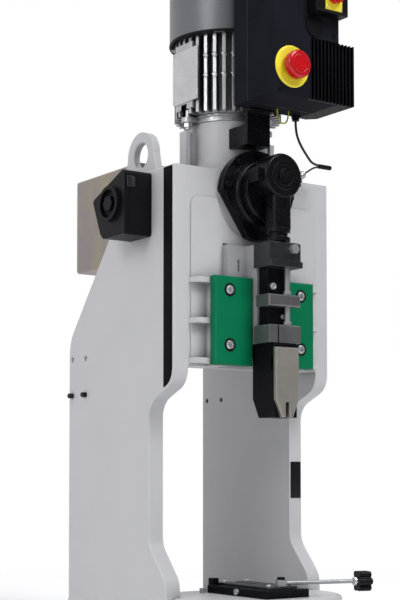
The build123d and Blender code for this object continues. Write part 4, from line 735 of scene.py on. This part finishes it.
cast_aluminium = casting("die_cast_aluminium", "#B0B0B3", "#C8C8CA", 0.36)
dress(cast_aluminium, "motor_flange", "stator_housing", "rear_shield", "gear_unit")
fin_count = 36
motor_centre = Vector((0, -0.025, 0))
fin_edge = 0.082
lug_levels = (0.836, 0.866)
lug_sink = 0.0008
fin_lug = as_object(
    "fin_lug_part",
    lofted(
        [
            [Vector((x * 0.0021, y * 0.0030, -0.0040)) for x, y in rounded(2, 2, 0.4)],
            [Vector((x * 0.0026, y * 0.0040, -0.0010)) for x, y in rounded(2, 2, 0.4)],
            [Vector((x * 0.0026, y * 0.0040, 0.0014)) for x, y in rounded(2, 2, 0.4)],
            [Vector((x * 0.0016, y * 0.0028, 0.0022)) for x, y in rounded(2, 2, 0.4)],
        ]
    ),
)
lug_places = []
for step in range(fin_count):
    angle = 2 * math.pi * step / fin_count
    outward = Vector((math.cos(angle), math.sin(angle), 0))
    on_plate = outward.x < -0.9
    on_console = outward.y < -0.9
    if not on_plate and not on_console:
        for height in lug_levels:
            foot = motor_centre + outward * (fin_edge - lug_sink) + Vector((0, 0, height))
            lug_places.append((foot, outward, 1.0))
repeated("fin_lugs", fin_lug, lug_places, cast_aluminium, "frame")

# The near black corner colour is painted shade in the cover's inner corners and under its rim.
cover_enamel = enamel(
    "grey_enamel_on_sheet", "#595A5F", "#606166", "#77787D", "#161618", 0.0025, 0.00001, 0.36, level=0.5
)
dress(cover_enamel, "fan_cover")
cowl_radius = 0.0895
cowl_low = 0.899
# The bead is black as painted shade: it stands for the shadow under the cover's rim.
cowl_bead = as_object(
    "cowl_bead",
    lofted(
        [points_of(cowl_radius + 0.0012 * math.cos(a) - 0.0003, 0.0022 * math.sin(a), steps=96)
         for a in (2 * math.pi * i / 10 for i in range(10))],
        closed=True,
    ),
)
cowl_bead.data.transform(Matrix.Translation(motor_centre + Vector((0, 0, cowl_low + 0.0012))))
fit(cowl_bead, shadow_black, "frame")

sheet_aluminium = bare_metal(
    "brushed_aluminium_sheet", "#CBCBCC", "#D6D6D6", 0.0016, (1, 14, 1), 0.34, 0.00004
)
dress(sheet_aluminium, "motor_plate")
rivet = as_object(
    "rivet_part",
    lofted(
        [
            points_of(0.0016, -0.0004, steps=20),
            points_of(0.0016, 0.0002, steps=20),
            points_of(0.0012, 0.0008, steps=20),
            points_of(0.0005, 0.0011, steps=20),
        ]
    ),
)
plate_x, plate_y, plate_z = -0.0832, -0.030, 0.841
rivet_half_width = 0.0285
rivet_half_height = 0.036
repeated(
    "plate_rivets",
    rivet,
    [
        ((plate_x, plate_y + sy * rivet_half_width, plate_z + sz * rivet_half_height), (-1, 0, 0), 1.0)
        for sy in (-1, 1)
        for sz in (-1, 1)
    ],
    bright,
    "frame",
)


# Control box: moulded black shell in two halves with a rubber seal between them, a black anodised
# heat sink, and a blind plug.
def moulded(name, low, high, grain, depth, gloss, level=0.5):
    """Moulded plastic with a spark-eroded grain."""
    material, tree, shader, place, soft, _ = begin(name, 0.0010)
    spark = noise(tree, place, grain, 4.0)
    cloud = noise(tree, place, 0.05)
    tone = mixed(tree, between(tree, cloud, 0.0, 1.0), low, high)
    tree.links.new(tone, shader.inputs["Base Color"])
    tree.links.new(between(tree, spark, gloss - 0.06, gloss + 0.06), shader.inputs["Roughness"])
    tree.links.new(raised(tree, spark, depth, soft), shader.inputs["Normal"])
    shader.inputs["Specular IOR Level"].default_value = level
    return material


box_shell = moulded("grained_abs_dark_grey", "#18181F", "#1D1D24", 0.0022, 0.00006, 0.60, 0.012)
dress(box_shell, "control_box_rear", "control_box_cover")
black_abs = moulded("grained_abs_black", "#09090B", "#0E0E11", 0.0025, 0.00006, 0.40, 0.12)
dress(black_abs, "side_housing", "side_cover", "blind_plug", "switch_housing")
dress(black_abs, "fan", "cable_fittings", "star_knob")
anodised = blackened("black_anodised_aluminium", "#08080A", "#0C0C0F", "#1B1C1F", 0.45, level=0.08)
dress(anodised, "heat_sink")
seal_x, seal_y, seal_z = 0.003, -0.150, 0.8815
seal = as_object(
    "box_seal",
    lofted(
        [
            [Vector((seal_x + x, seal_y + y, seal_z + z)) for x, z in rounded(width, height, 0.0008)]
            for width, height, y in (
                (0.1172, 0.2002, -0.0010),
                (0.1190, 0.2020, -0.0008),
                (0.1190, 0.2020, 0.0008),
                (0.1172, 0.2002, 0.0010),
            )
        ],
        closed=True,
    ),
)
rubber = moulded("black_rubber", "#0C0C0D", "#141415", 0.003, 0.00010, 0.6, 0.3)
fit(seal, rubber, "frame")

# Emergency stop and main switch: glossy red polycarbonate on plain yellow plates. The stop's face has
# a raised ring, and the switch's plate sits on four small screws.
signal_yellow = moulded("moulded_yellow", "#E6D634", "#DECB2C", 0.002, 0.00004, 0.34)
dress(signal_yellow, "stop_disc", "switch_plate")
signal_red = moulded("glossy_red_polycarbonate", "#B60D16", "#A20A12", 0.006, 0.00001, 0.14)
dress(signal_red, "stop_button", "switch_handle")
stop_ring = as_object(
    "stop_ring",
    lofted(
        [
            points_of(0.0116, -0.0004, steps=56),
            points_of(0.0116, 0.0006, steps=56),
            points_of(0.0122, 0.0010, steps=56),
            points_of(0.0132, 0.0010, steps=56),
            points_of(0.0138, 0.0006, steps=56),
            points_of(0.0138, -0.0004, steps=56),
        ],
        closed=True,
    ),
)
stop_centre = (-0.025, -0.2335, 0.821)
stop_ring.data.transform(Matrix.Translation(stop_centre) @ Matrix.Rotation(math.radians(90), 4, "X"))
fit(stop_ring, signal_red, "emergency_stop")
switch_x, switch_face, switch_z = 0.034, -0.237, 0.929
switch_screw_half_width = 0.0125
switch_screw_half_height = 0.0195
repeated(
    "switch_screws",
    cap_screw,
    [
        (
            (switch_x + sx * switch_screw_half_width, switch_face, switch_z + sz * switch_screw_half_height),
            (0, -1, 0),
            0.3,
        )
        for sx in (-1, 1)
        for sz in (-1, 1)
    ],
    zinc,
    "frame",
)

# Side housing: black moulding, dressed above, with a dark red rubber gasket in the seam of its cover.
gasket_red = moulded("dark_red_rubber", "#3A0A10", "#4A0E15", 0.003, 0.00006, 0.5, 0.3)
dress(gasket_red, "side_gasket")


# Rear cabinet: folded steel sheet, zinc plated and yellow passivated, so it is mottled in yellow,
# grey and violet.
def passivated():
    material, tree, shader, place, soft, edge_mask = begin("yellow_passivated_zinc", 0.0010)
    drift = noise(tree, place, 0.060, 2.0, (1, 1, 1.6))
    bloom = noise(tree, place, 0.022, 4.0)
    tone = mixed(tree, between(tree, drift, 0.0, 1.0), "#8E8588", "#A39A7C")
    tone = mixed(tree, between(tree, bloom, 0.0, 0.6), tone, "#9A9094")
    tree.links.new(mixed(tree, edge_mask, tone, "#C9C4BC"), shader.inputs["Base Color"])
    tree.links.new(between(tree, bloom, 0.34, 0.5), shader.inputs["Roughness"])
    tree.links.new(raised(tree, bloom, 0.00015, soft), shader.inputs["Normal"])
    shader.inputs["Metallic"].default_value = 0.8
    return material


yellow_zinc = passivated()
dress(yellow_zinc, "rear_cabinet", "cabinet_lid")

# Quick clamp: a black enamelled plate with an oiled top plate on four screws, and a thin lever
# whose star knob is moulded round a steel bush.
clamp_black = enamel(
    "black_enamel_on_steel", "#08080A", "#0D0D10", "#1E1F22", "#060607", 0.0025, 0.00003, 0.40, level=0.08
)
dress(clamp_black, "clamp_plate")
top_plate_top = 0.082
repeated(
    "top_plate_screws",
    cap_screw,
    [((x, y, top_plate_top), (0, 0, 1), 0.7) for x in (-0.019, 0.022) for y in (-0.149, -0.042)],
    zinc,
    "frame",
)
lever_start = Vector((0.003, -0.150, 0.0866))
lever_end = Vector((0.127, -0.187, 0.0866))
knob_half = 0.010
lever_way = (lever_end - lever_start).normalized()
bush = as_object(
    "knob_bush_part",
    lofted(
        [
            points_of(0.0030, -0.0060),
            points_of(0.0056, -0.0055),
            points_of(0.0062, -0.0040),
            points_of(0.0062, 0.0005),
        ]
    ),
)
repeated(
    "knob_bush",
    bush,
    [(lever_end - lever_way * knob_half, lever_way, 1.0)],
    bright,
    "clamp_handle",
)

for part in (cap_screw, gib_shadow_ring, thread_ring, fin_lug, rivet, bush):
    bpy.data.objects.remove(part)
